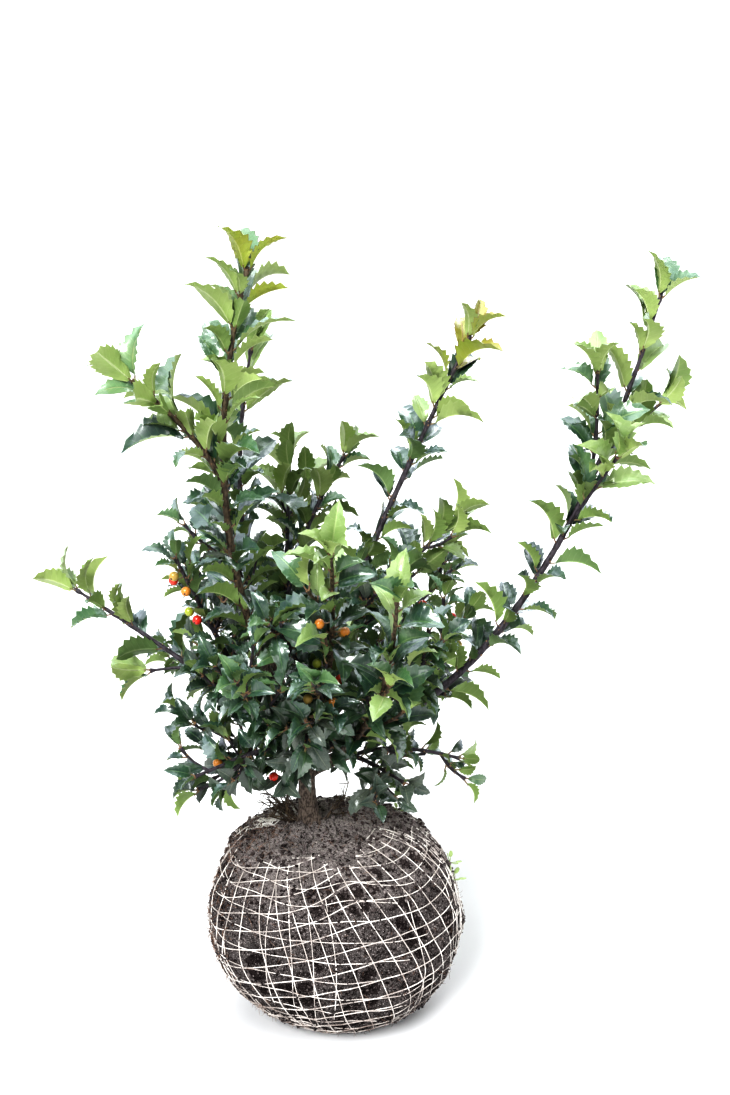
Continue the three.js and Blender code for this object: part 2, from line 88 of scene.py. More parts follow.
# Boughs: at, rise, tip (bearing, reach, height), run, radii
BOUGHS = {
    "leader": (1, 53, (-130, 58, 329), 0.53, (4.6, 3.3)),
    "far_right": (0.84, 10, (3, 52, 238), 0.5, (4.4, 3.6)),
    "right_rear": (1, 83, (34, 20, 304), 0.5, (4.0, 3.0)),
    "back_left": (0.97, 58, (146, 48, 330), 0.5, (3.6, 2.5)),
    "back": (0.93, 50, (118, 40, 294), 0.5, (3.7, 2.8)),
    "front_right": (0.72, 18, (-54, 63, 250), 0.55, (3.8, 2.9)),
    "front": (0.95, 38, (-70, 40, 276), 0.5, (3.7, 2.8)),
    "west": (0.88, 26, (-180, 34, 247), 0.5, (3.7, 2.8)),
    "front_left": (0.62, 22, (-121, 44, 242), 0.5, (3.4, 2.6)),
    "low_right": (0.55, 28, (0, 37, 219), 0.5, (3.0, 2.2)),
    "low_left": (0.5, 24, (-158, 26, 213), 0.5, (2.8, 2.1)),
    "rear_right": (0.8, 30, (51, 48, 256), 0.5, (3.5, 2.6)),
    "rear_left": (0.78, 30, (132, 50, 254), 0.5, (3.5, 2.6)),
    "rear": (0.66, 24, (85, 45, 242), 0.5, (3.3, 2.5)),
}
SUCKER = {"foot": (39, 75), "depth": 9, "tip": (37, 82, 188), "run": 0.5, "radii": (2.2, 1.7)}

# Habits: pitch, leaf length at foot and tip, bare foot, a twig every so many leaves, its reach,
# space, and how far a leaf and its upper side turn up
HABITS = {
    "long": (17, (44, 50), 40, 1, 0, 62, 0.25, 0.35),
    "open": (16, (44, 48), 12, 3, 42, 78, 0.2, 0.5),
    "dense": (17.2, (44, 48), 8, 2, 58, 92, 0.05, 1.1),
}

# Shoots: name, bough, habit, tip, run, radius, seed, what else. forks leave its stem at a share of the
# length, with their tip, run and radius. bark and tone are finishes, leaf is the size of its leaves,
# fill how many more it has, and young where they turn pale. berries are their share of the stem's
# length, angle and colour, and skirt the twigs that hang from its bough: share, and tip in x, y, z.
SHOOT_ROWS = [
    ("leader", "leader", "long", (-119, 78, 628), 0.54, 3.1, 11, {
        "forks": [(0.43, (-141, 156, 548), 0.3, 2.2)],
        "tone": "pale", "young": 0.5, "bark": "olive", "fill": 1.15,
    }),
    ("far_right", "far_right", "long", (5, 286, 604), 0.386, 3.4, 12, {
        "forks": [
            (0.6, (-1, 231, 542), 0.3, 1.5),
            (0.52, (-6, 247, 478), 0.2, 1.4),
            (0.67, (9, 298, 512), 0.2, 1.5),
        ],
        "leaf": 0.92,
    }),
    ("right_rear", "right_rear", "long", (19, 142, 566), 0.3, 2.8, 13, {
        "tone": "bronze", "fill": 0.7, "leaf": 0.94,
    }),
    ("back_left", "back_left", "long", (131, 69, 556), 0.475, 2.3, 14, {}),
    ("west", "west", "long", (173, 196, 358), 0.35, 2.6, 15, {
        "forks": [(0.38, (180, 130, 294), 0.2, 1.4)], "leaf": 0.88,
    }),
    ("back_high", "back", "open", (68, 83, 462), 0.4, 2.3, 16, {}),
    ("back_mid", "back", "open", (99, 112, 454), 0.3, 2, 17, {"aside": True}),
    ("right_mid", "right_rear", "open", (28, 140, 408), 0.25, 2, 18, {
        "aside": True, "berries": [(0.62, 20, "red")],
    }),
    ("front_high", "front", "open", (-81, 152, 432), 0.35, 2.4, 19, {
        "berries": [
            (0.56, 170, "orange"), (0.5, 10, "orange"), (0.45, 330, "ochre"),
            (0.27, 190, "green"), (0.2, 20, "red"),
        ],
        "bark": "olive",
    }),
    ("front_right", "front_right", "open", (-65, 168, 398), 0.4, 2.5, 20, {"bark": "olive"}),
    ("low_right", "low_right", "open", (3, 128, 214), 0.4, 1.9, 21, {"leaf": 0.6, "young": 0.92}),
    ("left_high", "west", "dense", (-162, 108, 400), 0.15, 2.1, 24, {
        "aside": True,
        "berries": [
            (0.93, 60, "ochre"), (0.89, 120, "red"), (0.84, 40, "orange"),
            (0.72, 100, "green"), (0.68, 60, "red"),
        ],
    }),
    ("low_left", "low_left", "dense", (-156, 84, 212), 0.4, 1.9, 22, {
        "berries": [(0.03, 60, "red"), (0.85, 250, "orange")], "fill": 1.0,
    }),
    ("right_low", "far_right", "dense", (19, 144, 330), 0.2, 2, 23, {
        "aside": True, "berries": [(0.8, 100, "ochre"), (0.92, 330, "red")],
    }),
    ("front_low_left", "front_left", "dense", (-138, 116, 232), 0.2, 1.9, 27, {"aside": True, "fill": 0.6}),
    ("left_low", "low_left", "dense", (-172, 104, 262), 0.2, 1.9, 25, {"aside": True, "fill": 0.6}),
    ("front_left", "front_left", "dense", (-112, 130, 325), 0.3, 2.3, 26, {
        "skirt": [(0.45, (-40, -50, 218)), (0.3, (-37, -42, 242))],
    }),
    ("front_mid", "front", "dense", (-86, 160, 338), 0.15, 2.1, 28, {
        "aside": True, "berries": [(0.35, 170, "ochre"), (0.3, 20, "orange")],
    }),
    ("front_centre", "front", "dense", (-104, 96, 366), 0.15, 1.8, 40, {"aside": True}),
    ("left_centre", "west", "dense", (-140, 92, 318), 0.15, 1.8, 41, {"aside": True}),
    ("front_low", "front", "dense", (-97, 98, 280), 0.15, 1.7, 29, {
        "aside": True,
        "skirt": [(0.3, (-30, -50, 234)), (0.5, (-20, -58, 250)), (0.6, (0, -62, 252))],
    }),
    ("right_front", "front_right", "dense", (-36, 134, 345), 0.2, 2.1, 30, {"aside": True}),
    ("low_front_right", "low_right", "dense", (-30, 92, 214), 0.2, 1.7, 31, {"aside": True, "fill": 1.0}),
    ("rear_right", "rear_right", "dense", (43, 172, 350), 0.35, 2.2, 32, {
        "berries": [(0.7, 200, "red"), (0.64, 60, "orange")],
    }),
    ("rear_right_low", "rear_right", "dense", (30, 140, 258), 0.2, 1.9, 33, {"aside": True}),
    ("rear", "rear", "dense", (86, 172, 335), 0.35, 2.1, 34, {
        "berries": [(0.6, 60, "ochre"), (0.52, 200, "red")],
    }),
    ("rear_low", "rear", "dense", (98, 150, 246), 0.2, 1.8, 35, {"aside": True, "fill": 1.0}),
    ("rear_left", "rear_left", "dense", (120, 158, 352), 0.35, 2.2, 36, {
        "berries": [(0.75, 100, "red")],
    }),
    ("rear_left_low", "rear_left", "dense", (150, 142, 290), 0.2, 1.9, 37, {"aside": True}),
    ("inner_left", "back_left", "dense", (170, 78, 424), 0.15, 1.8, 38, {"aside": True}),
    ("inner_right", "right_rear", "dense", (-20, 74, 392), 0.15, 1.8, 42, {"aside": True}),
    ("sucker", "sucker", "dense", (30, 92, 222), 0.3, 1.6, 39, {"fill": 1.0}),
]

# Rule of the leaves and twigs
LEAF_TURN = 137.5
LEAF_OPEN = (74, 52)
LEAF_ROLL = 32
LEAF_ROOT = 0.7  # share of the stem's radius at which a leaf is rooted
SPREAD = {"turn": 0.5, "open": 16, "length": 0.24, "twig": 0.5}
TUFT = {  # the last leaves of a stem
    "at": 0.985, "first": 1, "turn": 2.2, "open": (26, 36), "length": (0.72, 0.92), "leaves": (3, 2, 2),
}
TURN_ASIDE = 0.7
STEM_TIP = 0.8
TWIG = {"open": 48, "lift": 0.4, "turn": 0.5, "run": 0.5, "pitch": 0.9, "taper": 0.5, "radii": (1.25, 0.8)}

# Petioles: foot is how far back in its stem one starts, sag how far it hangs, on and below how far it
# runs on under the blade, and taken the share of its length that comes off the blade's
PETIOLE = {
    "length": 4.0, "radii": (0.91, 0.7, 0.5), "foot": 1.5, "sag": 0.3, "on": 2.5, "below": 0.2,
    "taken": 0.4,
}

# Blades, in shares of their length and half width: so many spines a side, each with a sinus before it
BLADE_SHARES = {"long": 0.97, "open": 0.84, "dense": 0.6}  # of the length that the rule gives
BLADE_WIDTH, WIDTH_SPREAD = 0.5, (0.86, 1.12)
BLADE_FULLNESS = (0.93, 0.64, 0.32)  # how far out it is widest, how pointed its foot, its tip the more
SPINES = 6
FIRST_SPINE, SPINE_RISE = 0.03, 0.7
SPINES_END, LAST_SINUS = 0.93, 0.95
SPINE_OUT, SPINE_IN, SPINE_LENGTH, SPINE_LEAN = 1.0, 0.915, 0.078, 0.012
BLADE_FORMS = {  # least and most of each
    "arch": (0.16, 0.46), "fold": (0.07, 0.26), "curl": (0.04, 0.34), "twist": (-0.12, 0.12),
    "wave": (0.02, 0.055),
}
PUFF, TIP_DROP = 0.016, 0.01
BLADE_THICKNESS = (0.5, 0.7, 0.5)  # millimetres, across the blade

# What the scene adds to the rule: leaves between its own, finer twigs, and leaves on the outer boughs
FINER = {
    "leaves": {"long": 0.4, "open": 0.75, "dense": 1.45}, "twig": 0.75, "radius": 0.8, "size": 0.84,
    "bare": 3, "turn": (-0.3, 0.3), "open": (-14, 6), "length": (0.8, 1.08), "reach": (0.8, 1.2),
}
INNER = {"from": 0.35, "fill": 0.7, "radii": (3.6, 2.6)}
SKIRT_RUN = 0.4

# Stems: fuller than the rule's by a share at the tip, swollen at each leaf, uneven, and their meshes
STEM_FULLER, STEM_SPREAD = 0.35, 0.04
KNOT = {"swell": 0.35, "width": 2.2}
STEM_SIDES, STEM_STEP = (8, 6, 6), (4, 6, 6)  # stem, twig and finer twig
STEM_BARKS = ("purple", "olive")
BUDS = {"beyond": 1.5, "lean": 0.8, "size": (0.75, 0.75, 1.5), "spread": (0.7, 1.2)}

# Berries, and the room kept open round them and in front of them
BERRY_RADIUS, BERRY_STALK, BERRY_FLAT = 4.0, 6.0, 0.96
CALYX_SIZE, CALYX_OUT = (0.9, 0.9, 0.5), 0.94
STALK = {"radii": (0.8, 0.6, 0.9), "sag": 0.6, "into": 0.8}
VIEWED_FROM, VIEWED_DOWN = np.array([26.0, -1197.0, 694.0]), 13.8
BERRY_OPEN = 115.0  # no leaf hangs nearer in front of a berry
BERRY_BLOCK = np.array([(x, y, z) for x in (-4, 4) for y in (-4, 4) for z in (-4, 4)], float)
BERRY_BLOCK_FACES = [(0, 1, 3, 2), (4, 6, 7, 5), (0, 4, 5, 1), (2, 3, 7, 6), (0, 2, 6, 4), (1, 5, 7, 3)]


# ---- Curves and the rule ------------------------------------------------------------------------

def unit(v):
    return v / np.linalg.norm(v)


def not_along(direction):
    """Up, or right where the direction itself is steep."""
    return UP if abs(direction[2]) < 0.9 else RIGHT


class Shoot:
    """A row of the table of shoots; more holds what only some of them have."""

    def __init__(self, name, bough, habit, tip, run, radius, seed, more):
        self.name, self.bough, self.habit, self.seed, self.more = name, bough, habit, seed, more
        self.tip, self.run, self.radius = tip, run, radius


SHOOTS = [Shoot(*row) for row in SHOOT_ROWS]


class Course:
    """A curve from a foot to a tip by way of an elbow, read by shares of its length."""

    STEPS = np.linspace(0, 1, 201)

    def __init__(self, foot, elbow, tip):
        self.foot, self.elbow, self.tip = foot, elbow, tip
        spots = self.spots(self.STEPS)
        steps = np.linalg.norm(np.diff(spots, axis=0), axis=1)
        self.lengths = np.concatenate(([0], np.cumsum(steps)))
        self.length = self.lengths[-1]

    def spots(self, t):
        t = np.atleast_1d(t)[:, None]
        return (1 - t) ** 2 * self.foot + 2 * t * (1 - t) * self.elbow + t**2 * self.tip

    def points(self, shares):
        return self.spots(np.interp(np.array(shares) * self.length, self.lengths, self.STEPS))

    def tangent(self, share):
        t = float(np.interp(share * self.length, self.lengths, self.STEPS))
        return unit((1 - t) * (self.elbow - self.foot) + t * (self.tip - self.elbow))

    def frame(self, share):
        """Point, direction, and two directions square to it."""
        chord = self.tip - self.foot
        along = self.tangent(share)
        across = unit(np.array([-chord[1], chord[0] + 1e-6, 0]))
        across = unit(across - along * across.dot(along))
        return self.points([share])[0], along, across, np.cross(across, along)


class Line:
    """A stem, fork or twig: its course, radii, how far out it branches, and its share of its shoot."""

    def __init__(self, course, radii, order, start=0.0):
        self.course, self.radii, self.order, self.start = course, radii, order, start

    def radius(self, share):
        return self.radii[0] + (self.radii[1] - self.radii[0]) * share


def seeded(seed):
    """The repeatable row of numbers that the solids draw from."""
    state = (seed * 2654435761) & 0xFFFFFFFF

    def draw():
        nonlocal state
        state = (state * 1664525 + 1013904223) & 0xFFFFFFFF
        return state / 4294967296

    return draw


def place(spot):
    """The point at a bearing and reach from the fork, at a height over the ground."""
    bearing, reach, height = spot
    angle = math.radians(bearing)
    x = TRUNK_FORK[0] + reach * math.cos(angle)
    return np.array([x, TRUNK_FORK[1] + reach * math.sin(angle), height])


def curve(foot, course, tip, run):
    """A curve that leaves its foot along a course, for a share of the way to its tip."""
    return Course(foot, foot + course * run * np.linalg.norm(tip - foot), tip)


def trunk_course():
    """The trunk's curve, bowed a little to the left."""
    elbow = (TRUNK_FOOT + TRUNK_FORK) / 2
    elbow[0] = TRUNK_FOOT[0] + TRUNK_BOW
    return Course(TRUNK_FOOT, elbow, TRUNK_FORK)


def bough_courses():
    """The curve of every bough, by its name."""
    trunk = trunk_course()
    courses = {}
    for name, (at, rise, tip, run, _) in BOUGHS.items():
        angle, up = math.radians(tip[0]), math.radians(rise)
        level = np.array([math.cos(angle), math.sin(angle), 0])
        course = level * math.cos(up) + UP * math.sin(up)
        courses[name] = curve(trunk.points([min(at, HIGHEST_BOUGH)])[0], course, place(tip), run)
    foot = place((*SUCKER["foot"], GROUND - SUCKER["depth"]))
    courses["sucker"] = curve(foot, UP, place(SUCKER["tip"]), SUCKER["run"])
    return courses


def bough_radii(name):
    """Radii of a bough at its foot and its tip."""
    return SUCKER["radii"] if name == "sucker" else BOUGHS[name][4]


def stem_lines(shoot, courses):
    """The stem of a shoot, from its bough's tip, and its forks."""
    bough = courses[shoot.bough]
    tip = place(shoot.tip)
    course = bough.tangent(1)
    if shoot.more.get("aside"):
        course = unit(course + (unit(tip - bough.tip) - course) * TURN_ASIDE)
    path = curve(bough.tip, course, tip, shoot.run)
    lines = [Line(path, (shoot.radius, STEM_TIP), 0)]
    for at, fork_tip, fork_run, fork_radius in shoot.more.get("forks", []):
        side = curve(path.points([at])[0], path.tangent(at), place(fork_tip), fork_run)
        lines.append(Line(side, (fork_radius, STEM_TIP), 0, at))
    return lines


def leaf_on(line, habit, share, turn, open_angle, length):
    """A leaf's root, direction, the way its upper side faces, length, and its share of which line."""
    *_, lift, light = HABITS[habit]
    point, along, across, out = line.course.frame(share)
    side = across * math.cos(turn) + out * math.sin(turn)
    course = unit(along * math.cos(open_angle) + side * math.sin(open_angle) + UP * lift)
    up = along * math.sin(open_angle) - side * math.cos(open_angle) + UP * light
    up = unit(up - course * up.dot(course))
    roll = math.radians(LEAF_ROLL) * math.sin(3 * turn)
    up = up * math.cos(roll) + np.cross(course, up) * math.sin(roll)
    root = point + side * line.radius(share) * LEAF_ROOT
    return {"root": root, "along": course, "up": up, "length": length, "share": share, "line": line}


def side_twig(line, share, turn, reach, order):
    """A twig off a stem: order 1 is the rule's own, and order 2 a finer one."""
    point, along, across, out = line.course.frame(share)
    side = across * math.cos(turn) + out * math.sin(turn)
    opening = math.radians(TWIG["open"])
    course = unit(along * math.cos(opening) + side * math.sin(opening))
    tip = unit(course + UP * TWIG["lift"]) * reach + point
    radii = tuple(radius * (1 if order == 1 else FINER["radius"]) for radius in TWIG["radii"])
    start = line.start + (1 - line.start) * share
    return Line(curve(point, course, tip, TWIG["run"]), radii, order, start)


def dress(line, habit, draw):
    """The side twigs and leaves of one stem."""
    pitch, leaf, bare, every, twig_reach, *_ = HABITS[habit]
    twigs, leaves = [], []
    length = line.course.length
    pitch *= TWIG["pitch"] if line.order else 1
    first_turn = draw() * TURN
    for i in range(max(0, int((length - bare) // pitch))):
        share = (bare + i * pitch) / length
        turn = first_turn + math.radians(i * LEAF_TURN) + (draw() - 0.5) * SPREAD["turn"]
        opening = LEAF_OPEN[0] + (LEAF_OPEN[1] - LEAF_OPEN[0]) * share
        opening = math.radians(opening + (draw() - 0.5) * SPREAD["open"])
        size = (leaf[0] + (leaf[1] - leaf[0]) * share) * (1 + (draw() - 0.5) * SPREAD["length"])
        reach = twig_reach * (1 - TWIG["taper"] * share) * (1 + (draw() - 0.5) * SPREAD["twig"])
        leaves.append(leaf_on(line, habit, share, turn, opening, size))
        if line.order == 0 and twig_reach > 0 and i % every == 1:
            twigs.append(side_twig(line, share, turn + TWIG["turn"], reach, 1))
    for i in range(TUFT["leaves"][line.order]):
        turn = first_turn + i * TUFT["turn"] + TUFT["first"]
        size = leaf[1] * (TUFT["length"][0] + (TUFT["length"][1] - TUFT["length"][0]) * draw())
        opening = math.radians(TUFT["open"][0] + (TUFT["open"][1] - TUFT["open"][0]) * draw())
        leaves.append(leaf_on(line, habit, TUFT["at"], turn, opening, size))
    return twigs, leaves


def finer(line, habit, rng, fill=0.0):
    """What the solids leave out: leaves between theirs, and finer twigs where they have none."""
    pitch, leaf, _, every, twig_reach, *_ = HABITS[habit]
    twigs, leaves = [], []
    length = line.course.length
    step = pitch / 2
    first_turn = rng.uniform(0, TURN)
    for i in range(max(0, int((length - FINER["bare"]) // step))):
        share = (FINER["bare"] + i * step) / length
        turn = first_turn + math.radians(i * LEAF_TURN) + rng.uniform(*FINER["turn"])
        opening = LEAF_OPEN[0] + (LEAF_OPEN[1] - LEAF_OPEN[0]) * share
        opening = math.radians(opening + rng.uniform(*FINER["open"]))
        size = leaf[0] * FINER["size"] * rng.uniform(*FINER["length"])
        if rng.uniform() < fill:
            leaves.append(leaf_on(line, habit, share, turn, opening, size))
        if line.order == 0 and twig_reach > 0 and i % (2 * every) == 3:
            reach = twig_reach * FINER["twig"] * (1 - TWIG["taper"] * share) * rng.uniform(*FINER["reach"])
            twigs.append(side_twig(line, share, turn + math.pi / 2, reach, 2))
    return twigs, leaves


# ---- Room ---------------------------------------------------------------------------------------

class Room:
    """What already stands, so that a new leaf or twig grows clear of it."""

    def __init__(self):
        self.trees, self.middles, self.reaches = [], [], []

    def add(self, points, faces):
        self.trees.append(BVHTree.FromPolygons(points.tolist(), faces))
        middle = points.mean(axis=0)
        self.middles.append(middle)
        self.reaches.append(np.linalg.norm(points - middle, axis=1).max())

    def meets(self, points, faces):
        """Whether a shape cuts one that stands, tested only where their spheres meet."""
        if not self.trees:
            return False
        middle = points.mean(axis=0)
        reach = np.linalg.norm(points - middle, axis=1).max()
        far = np.linalg.norm(np.array(self.middles) - middle, axis=1)
        near = np.flatnonzero(far < np.array(self.reaches) + reach)
        own = BVHTree.FromPolygons(points.tolist(), faces)
        return any(own.overlap(self.trees[i]) for i in near)


# ---- Meshes from arrays -------------------------------------------------------------------------

class Heap:
    """Gathers many small shapes into one mesh."""

    def __init__(self):
        self.points, self.faces, self.tones, self.uvs, self.count = [], [], [], [], 0

    def add(self, points, faces, tones=0, uv=None):
        self.points.append(points)
        self.faces.extend([tuple(i + self.count for i in face) for face in faces])
        self.tones.extend(tones if isinstance(tones, list) else [tones] * len(faces))
        self.uvs.append(uv if uv is not None else np.zeros((len(points), 2)))
        self.count += len(points)

    def piece(self, name, finishes, slot, nodes=(), smooth=60):
        """The heap as one object; edges sharper than smooth degrees stay sharp, and 0 leaves it flat."""
        mesh = bpy.data.meshes.new(name)
        mesh.from_pydata((np.concatenate(self.points) * MM).tolist(), [], self.faces)
        mesh.polygons.foreach_set("material_index", self.tones)
        layer = mesh.uv_layers.new(name="surface")
        corners = np.zeros(len(mesh.loops), np.int32)
        mesh.loops.foreach_get("vertex_index", corners)
        layer.data.foreach_set("uv", np.concatenate(self.uvs)[corners].ravel())
        mesh.polygons.foreach_set("use_smooth", [smooth > 0] * len(mesh.polygons))
        if smooth > 0:
            mesh.set_sharp_from_angle(angle=math.radians(smooth))
        for finish in finishes:
            mesh.materials.append(finish)
        piece = bpy.data.objects.new(name, mesh)
        bpy.context.scene.collection.objects.link(piece)
        settle(piece, nodes)
        return piece


def settle(piece, nodes=()):
    """A finished piece rides on the plant's one body."""
    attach(piece, "root")
    if nodes:
        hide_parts(*nodes)


def tube(points, radii, sides):
    """A closed tube through points, with a radius at each and its seam carried along."""
    points = np.asarray(points, float)
    along = np.gradient(points, axis=0)
    along /= np.linalg.norm(along, axis=1)[:, None]
    side = np.cross(along[0], not_along(along[0]))
    angles = np.arange(sides) * TURN / sides
    rings = []
    for point, course, radius in zip(points, along, radii):
        side = unit(side - course * side.dot(course))
        out = np.cross(course, side)
        rings.append(point + radius * (np.cos(angles)[:, None] * side + np.sin(angles)[:, None] * out))
    spots = np.concatenate(rings + [[points[0]], [points[-1]]])
    count = len(points)
    faces = []
    for i in range(count - 1):
        for j in range(sides):
            k = (j + 1) % sides
            faces.append((i * sides + j, i * sides + k, (i + 1) * sides + k, (i + 1) * sides + j))
    for j in range(sides):
        k = (j + 1) % sides
        faces.append((count * sides, k, j))
        faces.append((count * sides + 1, (count - 1) * sides + j, (count - 1) * sides + k))
    around = np.tile(angles / TURN, count)
    length = np.repeat(np.arange(count) / count, sides)
    uv = np.concatenate((np.column_stack((around, length)), [[0, 0], [0, 1]]))
    return spots, faces, uv


def read_spots(mesh):
    """A mesh's vertices, as rows of x, y and z."""
    spots = np.zeros(len(mesh.vertices) * 3)
    mesh.vertices.foreach_get("co", spots)
    return spots.reshape(-1, 3)


def add_relief(piece, label, sizes, middle, where=""):
    """Lumps in relief, of more than one size and height. middle is the tone that stays level."""
    for size, height in sizes:
        relief = piece.modifiers.new("relief", "DISPLACE")
        relief.texture = bpy.data.textures.new(f"{label}_{size}", "CLOUDS")
        relief.texture.noise_scale, relief.texture.noise_depth = size * MM, 3
        relief.strength, relief.mid_level = height * MM, middle
        relief.vertex_group = where


def apply_modifiers(piece):
    """Apply all of them, and shade the piece smooth."""
    for modifier in list(piece.modifiers):
        bpy.ops.object.modifier_apply(modifier=modifier.name)
    piece.data.polygons.foreach_set("use_smooth", [True] * len(piece.data.polygons))


def select_only(piece):
    bpy.ops.object.select_all(action="DESELECT")
    piece.select_set(True)
    bpy.context.view_layer.objects.active = piece


# ---- Finishes -----------------------------------------------------------------------------------

class Nodes:
    """Short calls for building a node tree."""

    def __init__(self, tree):
        self.tree = tree

    def add(self, kind, **values):
        node = self.tree.nodes.new(kind)
        for key, value in values.items():
            if hasattr(node, key):
                setattr(node, key, value)
            else:
                node.inputs[key.replace("_", " ")].default_value = value
        return node

    def link(self, source, node, socket):
        self.tree.links.new(source, node.inputs[socket])

    def maths(self, operation, *values, clamp=False):
        node = self.tree.nodes.new("ShaderNodeMath")
        node.operation = operation
        node.use_clamp = clamp
        for i, value in enumerate(values):
            if isinstance(value, (int, float)):
                node.inputs[i].default_value = value
            else:
                self.tree.links.new(value, node.inputs[i])
        return node.outputs[0]

    def ramp(self, value, low, high, most=None):
        """0 below low, 1 above high, smooth between, and then times most if it is given."""
        node = self.tree.nodes.new("ShaderNodeMapRange")
        node.interpolation_type = "SMOOTHSTEP"
        node.inputs["From Min"].default_value = low
        node.inputs["From Max"].default_value = high
        self.tree.links.new(value, node.inputs["Value"])
        result = node.outputs["Result"]
        return result if most is None else self.maths("MULTIPLY", result, most)

    def fall(self, value, low, high):
        """1 below low, 0 above high, smooth between."""
        return self.maths("SUBTRACT", 1.0, self.ramp(value, low, high))

    def parts(self, coordinate="Object"):
        """The three parts of a coordinate."""
        split = self.add("ShaderNodeSeparateXYZ")
        self.link(self.add("ShaderNodeTexCoord").outputs[coordinate], split, 0)
        return split.outputs

    def mix(self, share, first, second):
        """The first colour, with a share of the second."""
        node = self.tree.nodes.new("ShaderNodeMix")
        node.data_type = "RGBA"
        for socket, value in ((0, share), (6, first), (7, second)):
            if isinstance(value, (tuple, float, int)):
                node.inputs[socket].default_value = (*value, 1) if isinstance(value, tuple) else value
            else:
                self.tree.links.new(value, node.inputs[socket])
        return node.outputs[2]

    def texture(self, kind, scale, detail=3.0, coordinate="Object", stretch=None):
        """A pattern in millimetres: scale is roughly the size of its grains."""
        source = self.add("ShaderNodeTexCoord").outputs[coordinate]
        if stretch:
            mapping = self.add("ShaderNodeMapping")
            mapping.inputs["Scale"].default_value = stretch
            self.link(source, mapping, "Vector")
            source = mapping.outputs[0]
        node = self.add(kind)
        node.inputs["Scale"].default_value = 1000 / scale
        if "Detail" in node.inputs:
            node.inputs["Detail"].default_value = detail
        self.link(source, node, "Vector")
        return node


def new_group(name, inputs, outputs):
    """A shader node group: inputs and outputs are (name, kind, default)."""
    group = bpy.data.node_groups.new(name, "ShaderNodeTree")
    for label, kind, value in inputs:
        socket = group.interface.new_socket(label, in_out="INPUT", socket_type="NodeSocket" + kind)
        socket.default_value = value
    for label, kind in outputs:
        group.interface.new_socket(label, in_out="OUTPUT", socket_type="NodeSocket" + kind)
    nodes = Nodes(group)
    return group, nodes, nodes.add("NodeGroupInput"), nodes.add("NodeGroupOutput")


def mottle_group():
    """Uneven colour: large soft patches and small flecks."""
    group, nodes, given, result = new_group(
        "mottle",
        [("Colour", "Color", (0.5, 0.5, 0.5, 1)), ("Fleck", "Color", (0.5, 0.5, 0.5, 1)),
         ("Patches", "Float", 0.3), ("Flecks", "Float", 0.1)],
        [("Colour", "Color"), ("Grain", "Float")],
    )
    patch = nodes.texture("ShaderNodeTexNoise", 18, 2)
    grain = nodes.texture("ShaderNodeTexNoise", 1.6, 4)
    patches = nodes.ramp(patch.outputs[0], 0.38, 0.66, given.outputs["Patches"])
    flecks = nodes.ramp(grain.outputs[0], 0.5, 0.72, given.outputs["Flecks"])
    share = nodes.maths("ADD", patches, flecks, clamp=True)
    nodes.link(nodes.mix(share, given.outputs["Colour"], given.outputs["Fleck"]), result, "Colour")
    nodes.link(grain.outputs[0], result, "Grain")
    return group


def vein_group():
    """Midrib, side veins and margin of a leaf, from its own along and across."""
    group, nodes, given, result = new_group(
        "veins",
        [("Colour", "Color", (0.1, 0.2, 0.1, 1)), ("Vein", "Color", (0.3, 0.4, 0.2, 1)),
         ("Rim", "Color", (0.3, 0.4, 0.2, 1)), ("Midrib", "Float", 0.6), ("Side veins", "Float", 0.15),
         ("Margin", "Float", 0.3)],
        [("Colour", "Color"), ("Height", "Float")],
    )
    along, across, _ = nodes.parts("UV")
    far = nodes.maths("ABSOLUTE", nodes.maths("MULTIPLY_ADD", across, 2.0, -1.0))
    midrib = nodes.fall(far, 0.03, 0.1)
    phase = nodes.maths("SUBTRACT", nodes.maths("MULTIPLY", along, 8.0), nodes.maths("MULTIPLY", far, 1.3))
    side = nodes.fall(nodes.maths("PINGPONG", phase, 0.5), 0.02, 0.12)
    side = nodes.maths("MULTIPLY", side, nodes.fall(far, 0.55, 0.95))
    margin = nodes.ramp(far, 0.9, 0.99, given.outputs["Margin"])
    share = nodes.maths("MULTIPLY", midrib, given.outputs["Midrib"])
    veins = nodes.maths("MULTIPLY", side, given.outputs["Side veins"])
    share = nodes.maths("ADD", share, veins, clamp=True)
    veined = nodes.mix(share, given.outputs["Colour"], given.outputs["Vein"])
    nodes.link(nodes.mix(margin, veined, given.outputs["Rim"]), result, "Colour")
    height = nodes.maths("ADD", midrib, nodes.maths("MULTIPLY", side, 0.25))
    nodes.link(nodes.maths("SUBTRACT", 1.0, height), result, "Height")
    return group


GROUPS = {"mottle": mottle_group(), "veins": vein_group()}


def place_group(nodes, name, **values):
    """A node group in a material, with its own values."""
    node = nodes.add("ShaderNodeGroup")
    node.node_tree = GROUPS[name]
    for key, value in values.items():
        value = (*value, 1) if isinstance(value, tuple) else value
        node.inputs[key.replace("_", " ")].default_value = value
    return node


def new_finish(name, roughness, specular=0.5, **values):
    """A material with one Principled shader; returns it with its nodes and shader."""
    material = bpy.data.materials.new(name)
    material.use_nodes = True
    tree = material.node_tree
    shader = tree.nodes["Principled BSDF"]
    shader.inputs["Roughness"].default_value = roughness
    shader.inputs["Specular IOR Level"].default_value = specular
    for key, value in values.items():
        shader.inputs[key.replace("_", " ")].default_value = value
    return material, Nodes(tree), shader


def bump(nodes, shader, height, distance, strength=1.0):
    """Relief on a finish, up to a distance in millimetres."""
    node = nodes.add("ShaderNodeBump")
    node.inputs["Distance"].default_value = distance * MM
    node.inputs["Strength"].default_value = strength
    nodes.link(height, node, "Height")
    nodes.link(node.outputs[0], shader, "Normal")


